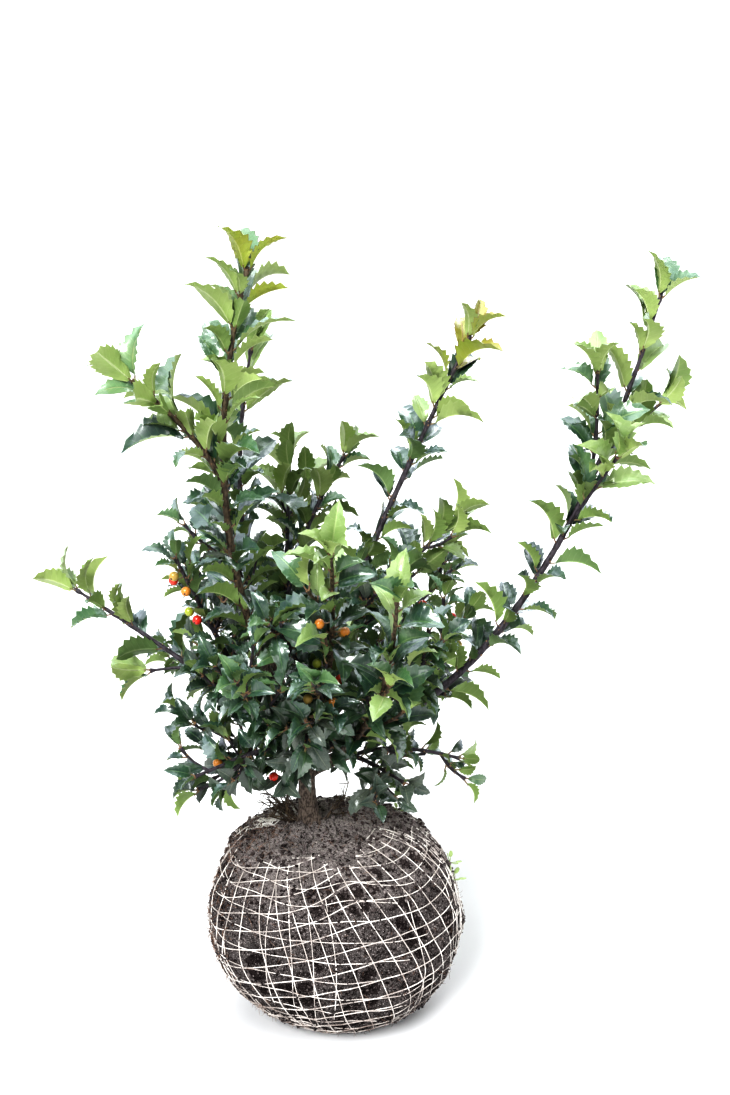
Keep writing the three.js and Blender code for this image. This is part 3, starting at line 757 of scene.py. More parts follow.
def leaf_finish(name, colour, vein, wax, fleck=None, rim=None, **veins):
    """One side of a leaf. wax runs from 0, matt, to 1, glossy."""
    material, nodes, shader = new_finish(
        name, 0.6 - 0.2 * wax, 0.3 + 0.35 * wax, Coat_Weight=0.9 * wax, Coat_Roughness=0.16, Coat_IOR=1.65,
    )
    mottled = place_group(nodes, "mottle", Colour=colour, Fleck=fleck or vein, Patches=0.25, Flecks=0.12)
    veined = place_group(nodes, "veins", Vein=vein, Rim=rim or vein, **veins)
    nodes.link(mottled.outputs["Colour"], veined, "Colour")
    nodes.link(veined.outputs["Colour"], shader, "Base Color")
    bump(nodes, shader, veined.outputs["Height"], 0.4, 0.8)
    return material


def plain_finish(name, colour, fleck, roughness, grain=0.25, **values):
    """Berries, petioles, buds and threads: mottled, with a fine grain."""
    material, nodes, shader = new_finish(name, roughness, **values)
    mottled = place_group(nodes, "mottle", Colour=colour, Fleck=fleck, Patches=0.3, Flecks=0.35)
    nodes.link(mottled.outputs["Colour"], shader, "Base Color")
    bump(nodes, shader, mottled.outputs["Grain"], grain)
    return material


def bark_finish(name, colour, crack, lichen, roughness, grain, relief):
    """Bark: cracks that run along the limb, with pale specks."""
    material, nodes, shader = new_finish(name, roughness, 0.4)
    cracks = nodes.texture("ShaderNodeTexNoise", grain, 5, stretch=(1, 1, 0.5))
    specks = nodes.texture("ShaderNodeTexVoronoi", grain * 1.1)
    worn = nodes.mix(nodes.ramp(cracks.outputs[0], 0.4, 0.6), crack, colour)
    speck = nodes.fall(specks.outputs[0], 0.12, 0.3)
    speckled = nodes.mix(nodes.maths("MULTIPLY", speck, 0.35), worn, lichen)
    nodes.link(speckled, shader, "Base Color")
    bump(nodes, shader, cracks.outputs[0], relief, 0.8)
    return material


def string_finish(name, clean, soiled):
    """String of the net: soiled in patches, and darker towards the ground."""
    material, nodes, shader = new_finish(name, 0.85, 0.2)
    patch = nodes.texture("ShaderNodeTexNoise", 16, 2)
    grain = nodes.texture("ShaderNodeTexNoise", 1.6, 3)
    most_low = 0.42  # how much darker it is at the ground
    *_, height = nodes.parts()
    low = nodes.maths("SUBTRACT", most_low, nodes.ramp(height, 0.01, 0.07, most_low))
    share = nodes.ramp(patch.outputs[0], 0.42, 0.64, 0.55)
    share = nodes.maths("ADD", share, nodes.ramp(grain.outputs[0], 0.5, 0.7, 0.3))
    nodes.link(nodes.mix(nodes.maths("ADD", share, low, clamp=True), clean, soiled), shader, "Base Color")
    bump(nodes, shader, grain.outputs[0], 0.25)
    return material


def soil_finish(name, dark, middle, pale):
    """Crumbly soil: fine light and dark grains with painted shade in the gaps between them, paler towards
    the top and darker towards the ground.
    """
    material, nodes, shader = new_finish(name, 0.95, 0.06)
    crumbs = nodes.texture("ShaderNodeTexVoronoi", 1.7)
    fine = nodes.texture("ShaderNodeTexNoise", 3.2, 6)
    broad = nodes.texture("ShaderNodeTexNoise", 22, 3)
    chance = nodes.add("ShaderNodeSeparateColor")
    nodes.link(crumbs.outputs["Color"], chance, 0)
    each = nodes.maths("MULTIPLY", chance.outputs[0], 0.9)  # every crumb has a tone of its own
    grain = nodes.maths("MULTIPLY_ADD", fine.outputs[0], 1.1, each)
    tone = nodes.mix(nodes.ramp(grain, 0.72, 1.05), dark, middle)
    tone = nodes.mix(nodes.ramp(grain, 1.05, 1.32), tone, pale)
    tone = nodes.mix(nodes.ramp(crumbs.outputs[0], 0.52, 0.82, 0.8), tone, dark)  # painted shade in the gaps between them
    *_, up = nodes.parts()
    # paler grains towards the top
    paling_up = nodes.ramp(up, 0.11, 0.165, 0.46)
    tone = nodes.mix(nodes.maths("MULTIPLY", paling_up, nodes.ramp(grain, 0.85, 1.1)), tone, pale)
    damp = nodes.ramp(broad.outputs[0], 0.46, 0.64, 0.35)
    # darker towards the ground
    darkening_low = nodes.maths("MULTIPLY", nodes.fall(up, 0.015, 0.1), 0.3)
    tone = nodes.mix(nodes.maths("ADD", damp, darkening_low, clamp=True), tone, dark)
    nodes.link(tone, shader, "Base Color")
    height = nodes.maths("MULTIPLY_ADD", crumbs.outputs[0], -0.8, fine.outputs[0])
    bump(nodes, shader, height, 2.6, 1.0)
    return material


# The plant's finishes, each with its colours in the order in which its function names them
SOILS = {
    "soil": soil_finish("soil", (0.006, 0.004, 0.004), (0.215, 0.168, 0.159), (0.76, 0.68, 0.66)),
    # the dark crumbs' finish, which also paints the shade in the soil's hollows
    "dark": soil_finish("crumb_dark_and_hollow_shade", (0.008, 0.005, 0.005), (0.055, 0.04, 0.037), (0.2, 0.16, 0.155)),
    "middle": soil_finish("crumb_middle", (0.05, 0.037, 0.035), (0.25, 0.2, 0.193), (0.55, 0.48, 0.47)),
    "pale": soil_finish("crumb_pale", (0.14, 0.11, 0.105), (0.47, 0.4, 0.39), (0.8, 0.73, 0.71)),
}

UPPERS = {
    "old": leaf_finish("leaf_upper_old", (0.006, 0.028, 0.013), (0.09, 0.17, 0.07), 1.0, Margin=0.5),
    "dusty": leaf_finish(
        "leaf_upper_dusty", (0.048, 0.075, 0.055), (0.2, 0.24, 0.17), 0.5, (0.24, 0.24, 0.2), Margin=0.4
    ),
    "mature": leaf_finish("leaf_upper_mature", (0.014, 0.052, 0.032), (0.13, 0.25, 0.1), 1.0, Margin=0.4),
    "fresh": leaf_finish("leaf_upper_fresh", (0.06, 0.145, 0.06), (0.28, 0.4, 0.17), 0.85),
    "young": leaf_finish("leaf_upper_young", (0.24, 0.345, 0.12), (0.44, 0.53, 0.26), 0.7),
    "bronze": leaf_finish(
        "leaf_upper_bronze", (0.3, 0.31, 0.05), (0.4, 0.24, 0.1), 0.7, (0.34, 0.15, 0.04),
        (0.2, 0.07, 0.05), Margin=0.9
    ),
    "pale": leaf_finish(
        "leaf_upper_pale", (0.155, 0.28, 0.135), (0.4, 0.46, 0.24), 0.8,
        rim=(0.19, 0.13, 0.12), Margin=0.8
    ),
}
LOWERS = {
    "dull": leaf_finish(
        "leaf_lower_dull", (0.155, 0.24, 0.09), (0.32, 0.42, 0.2), 0.2, (0.08, 0.17, 0.05), Midrib=0.8
    ),
    "light": leaf_finish(
        "leaf_lower_light", (0.24, 0.335, 0.11), (0.45, 0.53, 0.25), 0.2, (0.14, 0.24, 0.06), Midrib=0.8
    ),
    "bright": leaf_finish(
        "leaf_lower_bright", (0.39, 0.485, 0.185), (0.6, 0.66, 0.38), 0.2, (0.24, 0.37, 0.08), Midrib=0.8
    ),
    "olive": leaf_finish(
        "leaf_lower_olive", (0.36, 0.44, 0.07), (0.55, 0.56, 0.22), 0.3, (0.4, 0.29, 0.06),
        (0.22, 0.1, 0.05), Midrib=0.8, Margin=0.7,
    ),
}
TONES = list(UPPERS) + list(LOWERS)
LEAF_FINISHES = list(UPPERS.values()) + list(LOWERS.values())
BARKS = {
    "purple": bark_finish(
        "bark_purple", (0.062, 0.05, 0.062), (0.022, 0.017, 0.02), (0.2, 0.17, 0.17), 0.5, 2.5, 0.25
    ),
    "olive": bark_finish(
        "bark_olive", (0.13, 0.095, 0.06), (0.045, 0.03, 0.02), (0.3, 0.24, 0.16), 0.6, 2.5, 0.25
    ),
    "trunk": bark_finish(
        "bark_trunk", (0.2, 0.158, 0.13), (0.065, 0.05, 0.042), (0.44, 0.4, 0.37), 0.9, 1.5, 0.9
    ),
}
BERRIES = {
    name: plain_finish("berry_" + name, colour, fleck, roughness, 0.05, Coat_Weight=gloss)
    for name, colour, fleck, roughness, gloss in (
        ("red", (0.8, 0.03, 0.02), (0.85, 0.16, 0.05), 0.22, 0.4),
        ("orange", (0.72, 0.27, 0.04), (0.6, 0.36, 0.07), 0.25, 0.4),
        ("ochre", (0.5, 0.34, 0.08), (0.6, 0.43, 0.12), 0.28, 0.3),
        ("green", (0.4, 0.46, 0.05), (0.5, 0.52, 0.1), 0.28, 0.3),
    )
}
CALYX = plain_finish("calyx", (0.05, 0.03, 0.02), (0.12, 0.08, 0.05), 0.8)
PINK = plain_finish("petiole_pink", (0.21, 0.12, 0.075), (0.22, 0.25, 0.09), 0.5)
BUD = plain_finish("bud_scale", (0.23, 0.13, 0.065), (0.38, 0.25, 0.13), 0.6)
STRING = string_finish("net_string", (0.92, 0.88, 0.84), (0.3, 0.245, 0.22))
CLEAN_STRING = plain_finish("clean_string", (0.95, 0.93, 0.9), (0.7, 0.65, 0.6), 0.85)
ROOT = plain_finish("root_hair", (0.22, 0.125, 0.085), (0.38, 0.26, 0.19), 0.8)
WHITE_ROOT = plain_finish("white_root", (0.62, 0.56, 0.46), (0.42, 0.35, 0.27), 0.75)
WEED = plain_finish("weed_leaf", (0.3, 0.4, 0.15), (0.42, 0.52, 0.24), 0.5)


# ---- Leaves -------------------------------------------------------------------------------------

def blade_stations():
    """How far along a blade its sinuses and spines stand, by turns, and a last sinus by the tip."""
    pitch = (SPINES_END - FIRST_SPINE) / SPINES
    starts = FIRST_SPINE + np.arange(SPINES) * pitch
    return np.append(np.column_stack((starts, starts + SPINE_RISE * pitch)).ravel(), LAST_SINUS)


def half_width(x):
    """Half width of a blade without its spines, in shares, at a share of its length."""
    widest, foot, tip = BLADE_FULLNESS
    return math.sin(math.pi * x**widest) ** (foot + tip * x)


STATIONS = blade_stations()


def blade_shape(rng):
    """Points of a spiny blade of length and half width 1: both sides lie in its one folded, waved sheet.

    The upper side comes first, five points across at each station. The three inner ones come again at
    the end for the lower side, which is let down when the blade is hung.
    """
    arch, fold, curl, twist, wave = (rng.uniform(*limits) for limits in BLADE_FORMS.values())
    phase = rng.uniform(0, TURN)
    points, uv = [(0, 0, 0)], [(0, 0.5)]

    def lift(x, y):
        return arch * x * (1 - x) - curl * x**3 + fold * abs(y) * min(1, 5 * x) + twist * x * y

    for i, x in enumerate(STATIONS):
        spine = i % 2
        half = half_width(x)
        out = half * (SPINE_OUT if spine else SPINE_IN) + spine * SPINE_LENGTH
        for y in (-1, -0.5, 0, 0.5, 1):
            side = 1 if y > 0 else -1
            ripple = wave * (0.6 * math.sin(2.6 * math.pi * x + phase * side) + (0.5 if spine else -0.5))
            edge = lift(x, out * side) + ripple
            height = edge if abs(y) == 1 else lift(x, 0) * (1 - abs(y)) + edge * abs(y)
            puff = PUFF * math.sin(math.pi * x) if abs(y) == 0.5 else 0.0
            across = y * (out if abs(y) == 1 else half)
            points.append((x + SPINE_LEAN * spine * abs(y), across, height + puff))
            uv.append((x, 0.5 + 0.5 * y))
    points.append((1.0, 0, lift(1.0, 0) - TIP_DROP))
    uv.append((1, 0.5))
    for i in range(len(STATIONS)):
        points += points[5 * i + 2:5 * i + 5]
        uv += uv[5 * i + 2:5 * i + 5]
    return np.array(points), np.array(uv)


def blade_faces():
    """Faces of a blade's upper and lower side, which share only its margin."""
    rows = len(STATIONS)
    tip = 1 + 5 * rows
    last = 1 + 5 * (rows - 1)
    sheet = []
    for j in range(4):
        sheet.append((0, 1 + j, 2 + j))
        sheet.append((last + j, tip, last + j + 1))
        for i in range(rows - 1):
            a = 1 + 5 * i + j
            sheet.append((a, a + 5, a + 6, a + 1))
    under = {1 + 5 * i + j: tip + 3 * i + j for i in range(rows) for j in (1, 2, 3)}
    upper = [face[2::-1] + face[3:] for face in sheet]
    return upper, [tuple(under.get(corner, corner) for corner in face) for face in sheet]


BLADE_UPPER, BLADE_LOWER = blade_faces()
ROUGH_STATIONS, ROUGH_WIDTH = (0.3, 0.5, 0.75), 0.95
ROUGH_FOLD, ROUGH_MARGIN, ROUGH_TIP = 0.06, 0.09, -0.06  # their heights
ROUGH_FACES = [(0, 1, 4, 3), (1, 2, 5, 4), (3, 4, 7, 6), (4, 5, 8, 7), (6, 7, 9), (7, 8, 9)]


def leaf_frame(leaf, width, length):
    """Rows that carry a blade's own directions to the plant's, scaled."""
    across = np.cross(leaf["up"], leaf["along"])
    return np.array([leaf["along"] * length, across * width, leaf["up"] * length])


def rough_blade(leaf, length, width):
    """Ten corners that stand for a blade where room is tested."""
    spots = []
    for x in ROUGH_STATIONS:
        half = ROUGH_WIDTH * half_width(x)
        spots += [(x, -half, ROUGH_MARGIN), (x, 0, ROUGH_FOLD), (x, half, ROUGH_MARGIN)]
    spots.append((1.0, 0, ROUGH_TIP))
    base = leaf["root"] + leaf["along"] * PETIOLE["length"]
    return base + np.array(spots) @ leaf_frame(leaf, width, length)


def turned(leaf, turn, lean):
    """The same leaf, swung round its up and tipped."""
    along, up = leaf["along"], leaf["up"]
    across = np.cross(up, along)
    along = unit(along + across * turn + up * lean)
    return {**leaf, "along": along, "up": unit(up - along * up.dot(along))}


# Turns and leans that a leaf tries till it has room
TRIES = [(0, 0), (0.3, 0.1), (-0.3, 0.1), (0.15, 0.35), (-0.15, -0.3), (0.55, 0), (-0.55, 0.2)]


def grow_leaf(leaf, room, length, width, ceiling):
    """The leaf where it has room, swung a little aside if need be, or None.

    ceiling holds the low and the high corner of the space that it stays in.
    """
    for turn, lean in TRIES:
        moved = turned(leaf, turn, lean)
        rough = rough_blade(moved, length, width)
        low = rough.min(axis=0)
        high = rough.max(axis=0)
        inside = (low >= ceiling[0]).all() and (high <= ceiling[1]).all()
        if inside and not room.meets(rough, ROUGH_FACES):
            room.add(rough, ROUGH_FACES)
            return moved
    return None


# Ages, in shares of the way along a shoot, from which leaves are young, in their youngest tones, or in
# the tone of their own shoot; dense foliage is young only far out, and dusty low down
YOUNG, YOUNGEST, OWN_TONE = 0.7, 0.85, 0.86
YOUNG_REACH, REACH_LEVEL, REACH_RISE = 150, 230, 0.6
DUSTY_BELOW = 225


def leaf_tones(leaf, shoot, rng):
    """Tone of the upper and of the lower side, by the leaf's place on the plant."""
    line, tone = leaf["line"], shoot.more.get("tone")
    dense = shoot.habit == "dense"
    age = line.start + (1 - line.start) * leaf["share"]
    height = leaf["root"][2]
    reach = np.linalg.norm((leaf["root"] - TRUNK_FORK)[:2]) + REACH_RISE * (height - REACH_LEVEL)
    young = age > shoot.more.get("young", YOUNG) and (not dense or reach > YOUNG_REACH)
    if young and tone and age > OWN_TONE:
        return tone, rng.choice(["bright", "olive" if line.start == 0 else "bright"])
    if young and not dense:
        upper = ["young", "young", "fresh"] if age > YOUNGEST else ["young", "fresh", "mature"]
        lower = ["bright", "bright", "light"]
    elif young:
        upper = ["fresh", "mature", "mature"]
        lower = ["light", "dull"]
    elif not dense:
        upper = ["mature", "mature", "old"]
        lower = ["light", "light", "dull"]
    else:
        upper = ["old", "old", "mature", "mature", "dusty"]
        if height < DUSTY_BELOW:
            upper = ["old", "dusty", "dusty"]
        lower = ["dull", "dull", "light"]
    return rng.choice(upper), rng.choice(lower)


def hang_leaf(heaps, leaf, length, width, tones, shapes, rng):
    """A petiole and a blade, added to their heaps."""
    points, uv = shapes[rng.integers(len(shapes))]
    base = leaf["root"] + leaf["along"] * PETIOLE["length"]
    blade = base + points @ leaf_frame(leaf, width, length)
    below = np.tile(BLADE_THICKNESS, len(STATIONS))
    blade[-len(below):] -= np.outer(below, leaf["up"])
    faces = BLADE_UPPER + BLADE_LOWER
    marks = [TONES.index(tones[0])] * len(BLADE_UPPER) + [TONES.index(tones[1])] * len(BLADE_LOWER)
    heaps["leaves"].add(blade, faces, marks, uv)
    foot = leaf["root"] - leaf["along"] * PETIOLE["foot"]
    middle = (foot + base) / 2 - leaf["up"] * PETIOLE["sag"]
    end = base + leaf["along"] * PETIOLE["on"] - leaf["up"] * PETIOLE["below"]
    heaps["petioles"].add(*tube([foot, middle, end], PETIOLE["radii"], 5)[:2])


# ---- Shoots -------------------------------------------------------------------------------------

def stem_tube(heap, line, tone, rng, knots):
    """A stem with a slight swelling at each leaf; knots are the leaves' shares of its length."""
    steps = max(4, int(line.course.length / STEM_STEP[line.order]))
    shares = np.linspace(0, 1, steps + 1)
    radii = np.array([line.radius(share) for share in shares])
    for knot in knots:
        radii += KNOT["swell"] * np.exp(-(((shares - knot) * line.course.length / KNOT["width"]) ** 2))
    radii *= (1 + STEM_FULLER * shares) * (1 + rng.uniform(-STEM_SPREAD, STEM_SPREAD, len(radii)))
    spots, faces, uv = tube(line.course.points(shares), radii, STEM_SIDES[line.order])
    heap.add(spots, faces, tone, uv)


def rough_stem(line, radius, count, start=0.0):
    """A plain tube that stands for a stem, from a share of its length on, where room is tested."""
    return tube(line.course.points(np.linspace(start, 1, count)), [radius] * count, 4)[:2]


def berry_parts(line, spot):
    """Where a berry's stalk starts, the way it points, the berry's middle and its colour."""
    share, degrees, colour = spot
    point, _, across, out = line.course.frame(share)
    side = across * math.cos(math.radians(degrees)) + out * math.sin(math.radians(degrees))
    return point, side, point + side * (BERRY_STALK + BERRY_RADIUS), colour


def keep_berry_open(room, middle):
    """Block the room of a berry and, with a sleeve, the way to it from before or behind the plant."""
    open_side = unit(VIEWED_FROM - middle) * (BERRY_OPEN if middle[1] < 0 else -BERRY_OPEN)
    room.add(middle + BERRY_BLOCK, BERRY_BLOCK_FACES)
    sleeve = BERRY_BLOCK * np.array([1, 0, 1]) + np.outer(BERRY_BLOCK[:, 1] / 4 + 1, open_side / 2)
    room.add(middle + sleeve, BERRY_BLOCK_FACES)


def lay_out_shoots():
    """The boughs' curves, the stems of every shoot, and the room with them and the berries in it."""
    courses = bough_courses()
    room = Room()
    grown = [(shoot, stem_lines(shoot, courses)) for shoot in SHOOTS]
    stems = [line for _, lines in grown for line in lines]
    stems += [Line(course, bough_radii(name), 0) for name, course in courses.items()]
    for line in stems:
        slim = line.radius(0) * 0.8 + 0.4  # between its radii at the foot and at the tip
        room.add(*rough_stem(line, slim, 7))
    for shoot, lines in grown:
        for spot in shoot.more.get("berries", []):
            keep_berry_open(room, berry_parts(lines[0], spot)[2])
    return courses, room, grown


def strays(lines, leaf, length, space):
    """Whether a leaf's tip is further than the habit's space from every stem of its shoot."""
    tip = leaf["root"] + leaf["along"] * (PETIOLE["length"] + length)
    spots = np.concatenate([line.course.points(np.linspace(0, 1, 13)) for line in lines])
    return np.linalg.norm(spots - tip, axis=1).min() > space


def grow_parts(shoot, lines, bough, rng):
    """A shoot's twigs, each with its leaves, and the leaves on its stems: the rule's own come first."""
    habit, draw = shoot.habit, seeded(shoot.seed)
    leaves, twigs = [], []
    for line in lines:
        more_twigs, more_leaves = dress(line, habit, draw)
        leaves += more_leaves
        for twig in more_twigs:
            twigs.append((twig, dress(twig, habit, draw)[1]))
    for share, tip in shoot.more.get("skirt", []):
        start = bough.course.points([share])[0]
        path = curve(start, bough.course.tangent(share), np.array(tip), SKIRT_RUN)
        twig = Line(path, TWIG["radii"], 1)
        twigs.append((twig, dress(twig, habit, rng.uniform)[1]))
    for line in lines:
        more_twigs, _ = finer(line, habit, rng)
        twigs += [(twig, dress(twig, habit, rng.uniform)[1]) for twig in more_twigs]
    fill = shoot.more.get("fill", FINER["leaves"][habit])
    for part in (min(fill, 1), fill - 1):
        for line in lines:
            leaves += finer(line, habit, rng, part)[1]
        for twig, own in twigs:
            own.extend(finer(twig, habit, rng, part)[1])
    if habit == "dense":
        inner = finer(bough, habit, rng, INNER["fill"])[1]
        leaves += [leaf for leaf in inner if leaf["share"] > INNER["from"]]
    return twigs, leaves


def dress_shoot(shoot, lines, bough, room, heaps, shapes, ceiling):
    """Add what a shoot has room for: twigs, then leaves, the stems with their buds, and berries."""
    rng = np.random.default_rng(shoot.seed)
    twigs, leaves = grow_parts(shoot, lines, bough, rng)
    standing = list(lines)
    for twig, own in twigs:
        free = 0.15 if twig.start else 0.6  # a twig that hangs from the bough leaves it slowly
        rough = rough_stem(twig, twig.radius(0) + 0.3, 4, free)
        if not room.meets(*rough):
            room.add(*rough)
            standing.append(twig)
            leaves += own
    *_, space, _, _ = HABITS[shoot.habit]
    size = BLADE_SHARES[shoot.habit]
    knots = {}
    for leaf in leaves:
        length = leaf["length"] * size * shoot.more.get("leaf", 1) - PETIOLE["length"] * PETIOLE["taken"]
        width = length * BLADE_WIDTH / 2 * rng.uniform(*WIDTH_SPREAD)
        if strays(lines, leaf, length, space):
            continue
        moved = grow_leaf(leaf, room, length, width, ceiling)
        if moved is not None:
            knots.setdefault(id(leaf["line"]), []).append(leaf["share"])
            hang_leaf(heaps, moved, length, width, leaf_tones(moved, shoot, rng), shapes, rng)
    bark = STEM_BARKS.index(shoot.more.get("bark", "purple"))
    for line in standing:
        own = knots.get(id(line), [])
        stem_tube(heaps["stems"], line, bark, rng, own)
        add_buds(heaps["buds"], line, own, rng)
    for spot in shoot.more.get("berries", []):
        hang_berry(heaps, lines[0], spot)


def ball_shape(rings, around):
    """A closed unit ball of flat rings with two poles."""
    points = [(0, 0, -1)]
    for i in range(1, rings):
        polar = math.pi * i / rings
        level = math.sin(polar)
        for j in range(around):
            turn = TURN * j / around
            points.append((level * math.cos(turn), level * math.sin(turn), -math.cos(polar)))
    points.append((0, 0, 1))
    faces = []
    for j in range(around):
        k = (j + 1) % around
        faces.append((0, 1 + k, 1 + j))
        faces.append((len(points) - 1, 1 + (rings - 2) * around + j, 1 + (rings - 2) * around + k))
        for i in range(rings - 2):
            a = 1 + i * around
            faces.append((a + j, a + k, a + around + k, a + around + j))
    return np.array(points), faces


BUD_SHAPE = ball_shape(4, 5)
FRUIT_SHAPE = ball_shape(12, 18)
CALYX_SHAPE = ball_shape(4, 8)


def facing(direction):
    """Rows of a frame whose third direction is the one given."""
    side = unit(np.cross(direction, not_along(direction)))
    return np.array([side, np.cross(direction, side), direction])


def add_buds(heap, line, shares, rng):
    """A small scaly bud in the angle over each leaf."""
    points, faces = BUD_SHAPE
    for share in shares:
        point, along, across, out = line.course.frame(min(share + BUDS["beyond"] / line.course.length, 1))
        turn = rng.uniform(0, TURN)
        side = across * math.cos(turn) + out * math.sin(turn)
        course = unit(side + along * BUDS["lean"])
        size = np.array(BUDS["size"]) * rng.uniform(*BUDS["spread"])
        heap.add(point + side * line.radius(share) + (points * size) @ facing(course), faces)


def hang_berry(heaps, line, spot):
    """A round berry with the dark mark of its calyx, on a short stalk."""
    point, side, middle, colour = berry_parts(line, spot)
    rows = facing(side)
    points, faces = FRUIT_SHAPE
    fruit = points * BERRY_RADIUS * np.array([1, 1, BERRY_FLAT])
    heaps["berries"].add(middle + fruit @ rows, faces, list(BERRIES).index(colour))
    points, faces = CALYX_SHAPE
    calyx = middle + side * BERRY_RADIUS * CALYX_OUT + (points * np.array(CALYX_SIZE)) @ rows
    heaps["berries"].add(calyx, faces, len(BERRIES))
    bend = (point + middle) / 2 - UP * STALK["sag"]
    end = middle - side * BERRY_RADIUS * STALK["into"]
    heaps["petioles"].add(*tube([point, bend, end], STALK["radii"], 5)[:2])


# ---- Trunk and boughs ---------------------------------------------------------------------------

TRUNK_MESH = {"from": -0.06, "steps": 60, "sides": 48}
BOUGH_MESH = {"steps": 24, "sides": 14}
COLLAR = 1.12  # how much thicker a bough is at its foot than the rule makes it
BARK_MESH = 0.88  # step of the one skin
BARK_RELIEF = ((5.5, 1.1), (1.8, 0.55))  # size of the lumps and their height


def trunk_tube():
    """The trunk with its flare, a little way into the soil."""
    course = trunk_course()
    shares = np.linspace(TRUNK_MESH["from"], 1.0, TRUNK_MESH["steps"])
    spots = course.points(np.clip(shares, 0, 1))
    spots[:, 2] += np.minimum(shares, 0) * course.length
    radii = [np.interp(share, (0, 1), TRUNK_RADII) for share in shares]
    around = TRUNK_MESH["sides"]
    points, faces, _ = tube(spots, radii, around)
    for i, share in enumerate(shares):
        for j in range(around):
            angle = TURN * j / around
            flare = math.exp(-max(share, 0) / FLARE_HEIGHT) * FLARE
            flare *= 1 + ROOT_SHARE * math.cos(ROOTS * angle)
            spot = points[i * around + j]
            points[i * around + j] = spot + unit(spot - spots[i]) * flare
    return points, faces


def make_trunk_and_boughs(courses):
    """One skin over the trunk and its boughs, with bark in relief."""
    heap = Heap()
    heap.add(*trunk_tube())
    for name, course in courses.items():
        foot, tip = bough_radii(name)
        shares = np.linspace(0, 1, BOUGH_MESH["steps"])
        radii = np.linspace(foot * COLLAR, tip, BOUGH_MESH["steps"])
        heap.add(*tube(course.points(shares), radii, BOUGH_MESH["sides"])[:2])
    nodes = ["trunk"] + ["bough_" + name for name in courses]
    piece = heap.piece("trunk_and_boughs", [BARKS["trunk"]], "trunk_bark", nodes)
    select_only(piece)
    fuse = piece.modifiers.new("fuse", "REMESH")
    fuse.mode = "VOXEL"
    fuse.voxel_size = BARK_MESH * MM
    soften = piece.modifiers.new("soften", "SMOOTH")
    soften.factor, soften.iterations = 0.5, 3
    add_relief(piece, "bark", BARK_RELIEF, 0.5)
    apply_modifiers(piece)


# ---- Root ball ----------------------------------------------------------------------------------

OUTLINE = np.array(BALL_OUTLINE, float)
OUTLINE_LENGTHS = np.concatenate(([0], np.cumsum(np.linalg.norm(np.diff(OUTLINE, axis=0), axis=1))))
OUTLINE_LENGTH = OUTLINE_LENGTHS[-1]


def soft_outline(shares):
    """Radius and height of the ball's outline at shares of its length, its corners rounded."""
    near = np.linspace(-0.03, 0.03, 7)
    radius, height = 0, 0
    for shift in near:
        at = np.clip(shares + shift * np.minimum(shares, 1 - shares) * 4, 0, 1) * OUTLINE_LENGTH
        radius = radius + np.interp(at, OUTLINE_LENGTHS, OUTLINE[:, 0]) / len(near)
        height = height + np.interp(at, OUTLINE_LENGTHS, OUTLINE[:, 1]) / len(near)
    return radius, height


def ball_surface(angle, share):
    """Points of the ball's smooth surface."""
    radius, height = soft_outline(share)
    swell = 1.0
    up = height / BALL_TOP
    for waves, rises, lump, bearing, twist in BALL_LUMPS:
        around = np.cos(waves * (angle - math.radians(bearing) - twist * up))
        swell = swell + lump * around * np.cos(math.pi * rises * up)
    x, y = (foot + (top - foot) * up for foot, top in zip(*BALL_LEAN))
    reach = radius * swell
    return np.stack((reach * np.cos(angle) + x, reach * np.sin(angle) + y, height), axis=-1)


# The net: rings round the ball that rise to the right, and ribs that lean as they go down
RINGS = {"step": 0.047, "tilt": 0.085, "crest": -0.5, "first": 0.02, "spots": 150}
RIBS = {"count": 37, "twist": -0.85, "sway": -0.5, "crest": -0.35, "span": (0.015, 0.98), "spots": 80}
DRIFT = {"places": (1.6, 3.2), "pull": (0.16, 0.035)}  # round the ball, and up it
NET_RADIUS, NET_SPREAD, NET_SIDES = 0.47, 0.14, 5
SUNK = {  # where soil covers the strings, and how many radii over it or in it they then lie
    "places": (9, 12), "uneven": 0.8, "proud": 0.36, "edge": 1.8, "over": 2.2, "in": 4.2,
}
SHORTEST_RUN = 4  # points of a string, fewer of which aren't laid
NET_EDGE = (  # bearing and share of the outline at which the net ends
    (-180, 0.79), (-165, 0.72), (-150, 0.71), (-146, 0.73), (-134, 0.755), (-112, 0.795), (-98, 0.805),
    (-88, 0.768), (-82, 0.735), (-74, 0.773), (-65, 0.81), (-46, 0.848), (-27, 0.862), (-9, 0.82),
    (2, 0.775), (10, 0.75), (30, 0.8), (90, 0.86), (150, 0.84), (180, 0.79),
)

# The second layer: step, tilt and start of its rings; count, twist and start of its ribs, with fan the
# turn from one to the next; which strings there are and between which bearings; and how thick they are
# beside those of the first
LAYERS = {
    "front": {
        "rings": (0.048, -0.02, 0.02), "strings": range(5, 17), "between": (-2.8, -1.2),
        "ragged": (0.1, 0.25), "thick": 0.9,
    },
    "right": {"rings": (0.13, 0.018, 0.1), "strings": range(5), "from": 0.3, "thick": 0.85},
    "slack": {"rings": (0.033, 0.03, 0.1), "strings": range(7), "between": (-2.9, -1.7), "thick": 1.0},
    "ribs": {
        "count": 34, "twist": -0.1, "start": 0.1, "between": (-2.6, -1.5), "elsewhere": 4,
        "edge": -0.06, "thick": 0.9,
    },
    "fold": {
        "count": 90, "twist": -0.35, "fan": 0.06, "start": math.pi - 0.32, "strings": range(11),
        "thick": 0.85,
    },
}
GATHERS = {  # threads drawn together over the open soil, from end to end
    "ends": ((-31.0, 21.0), (-62.0, 1.0)), "across": (-0.55, 0.83), "count": 48, "radius": 0.6,
    "shortest": 0.3, "spread": 4.0, "wave": 1.8, "above": (1.0, 3.6),
}

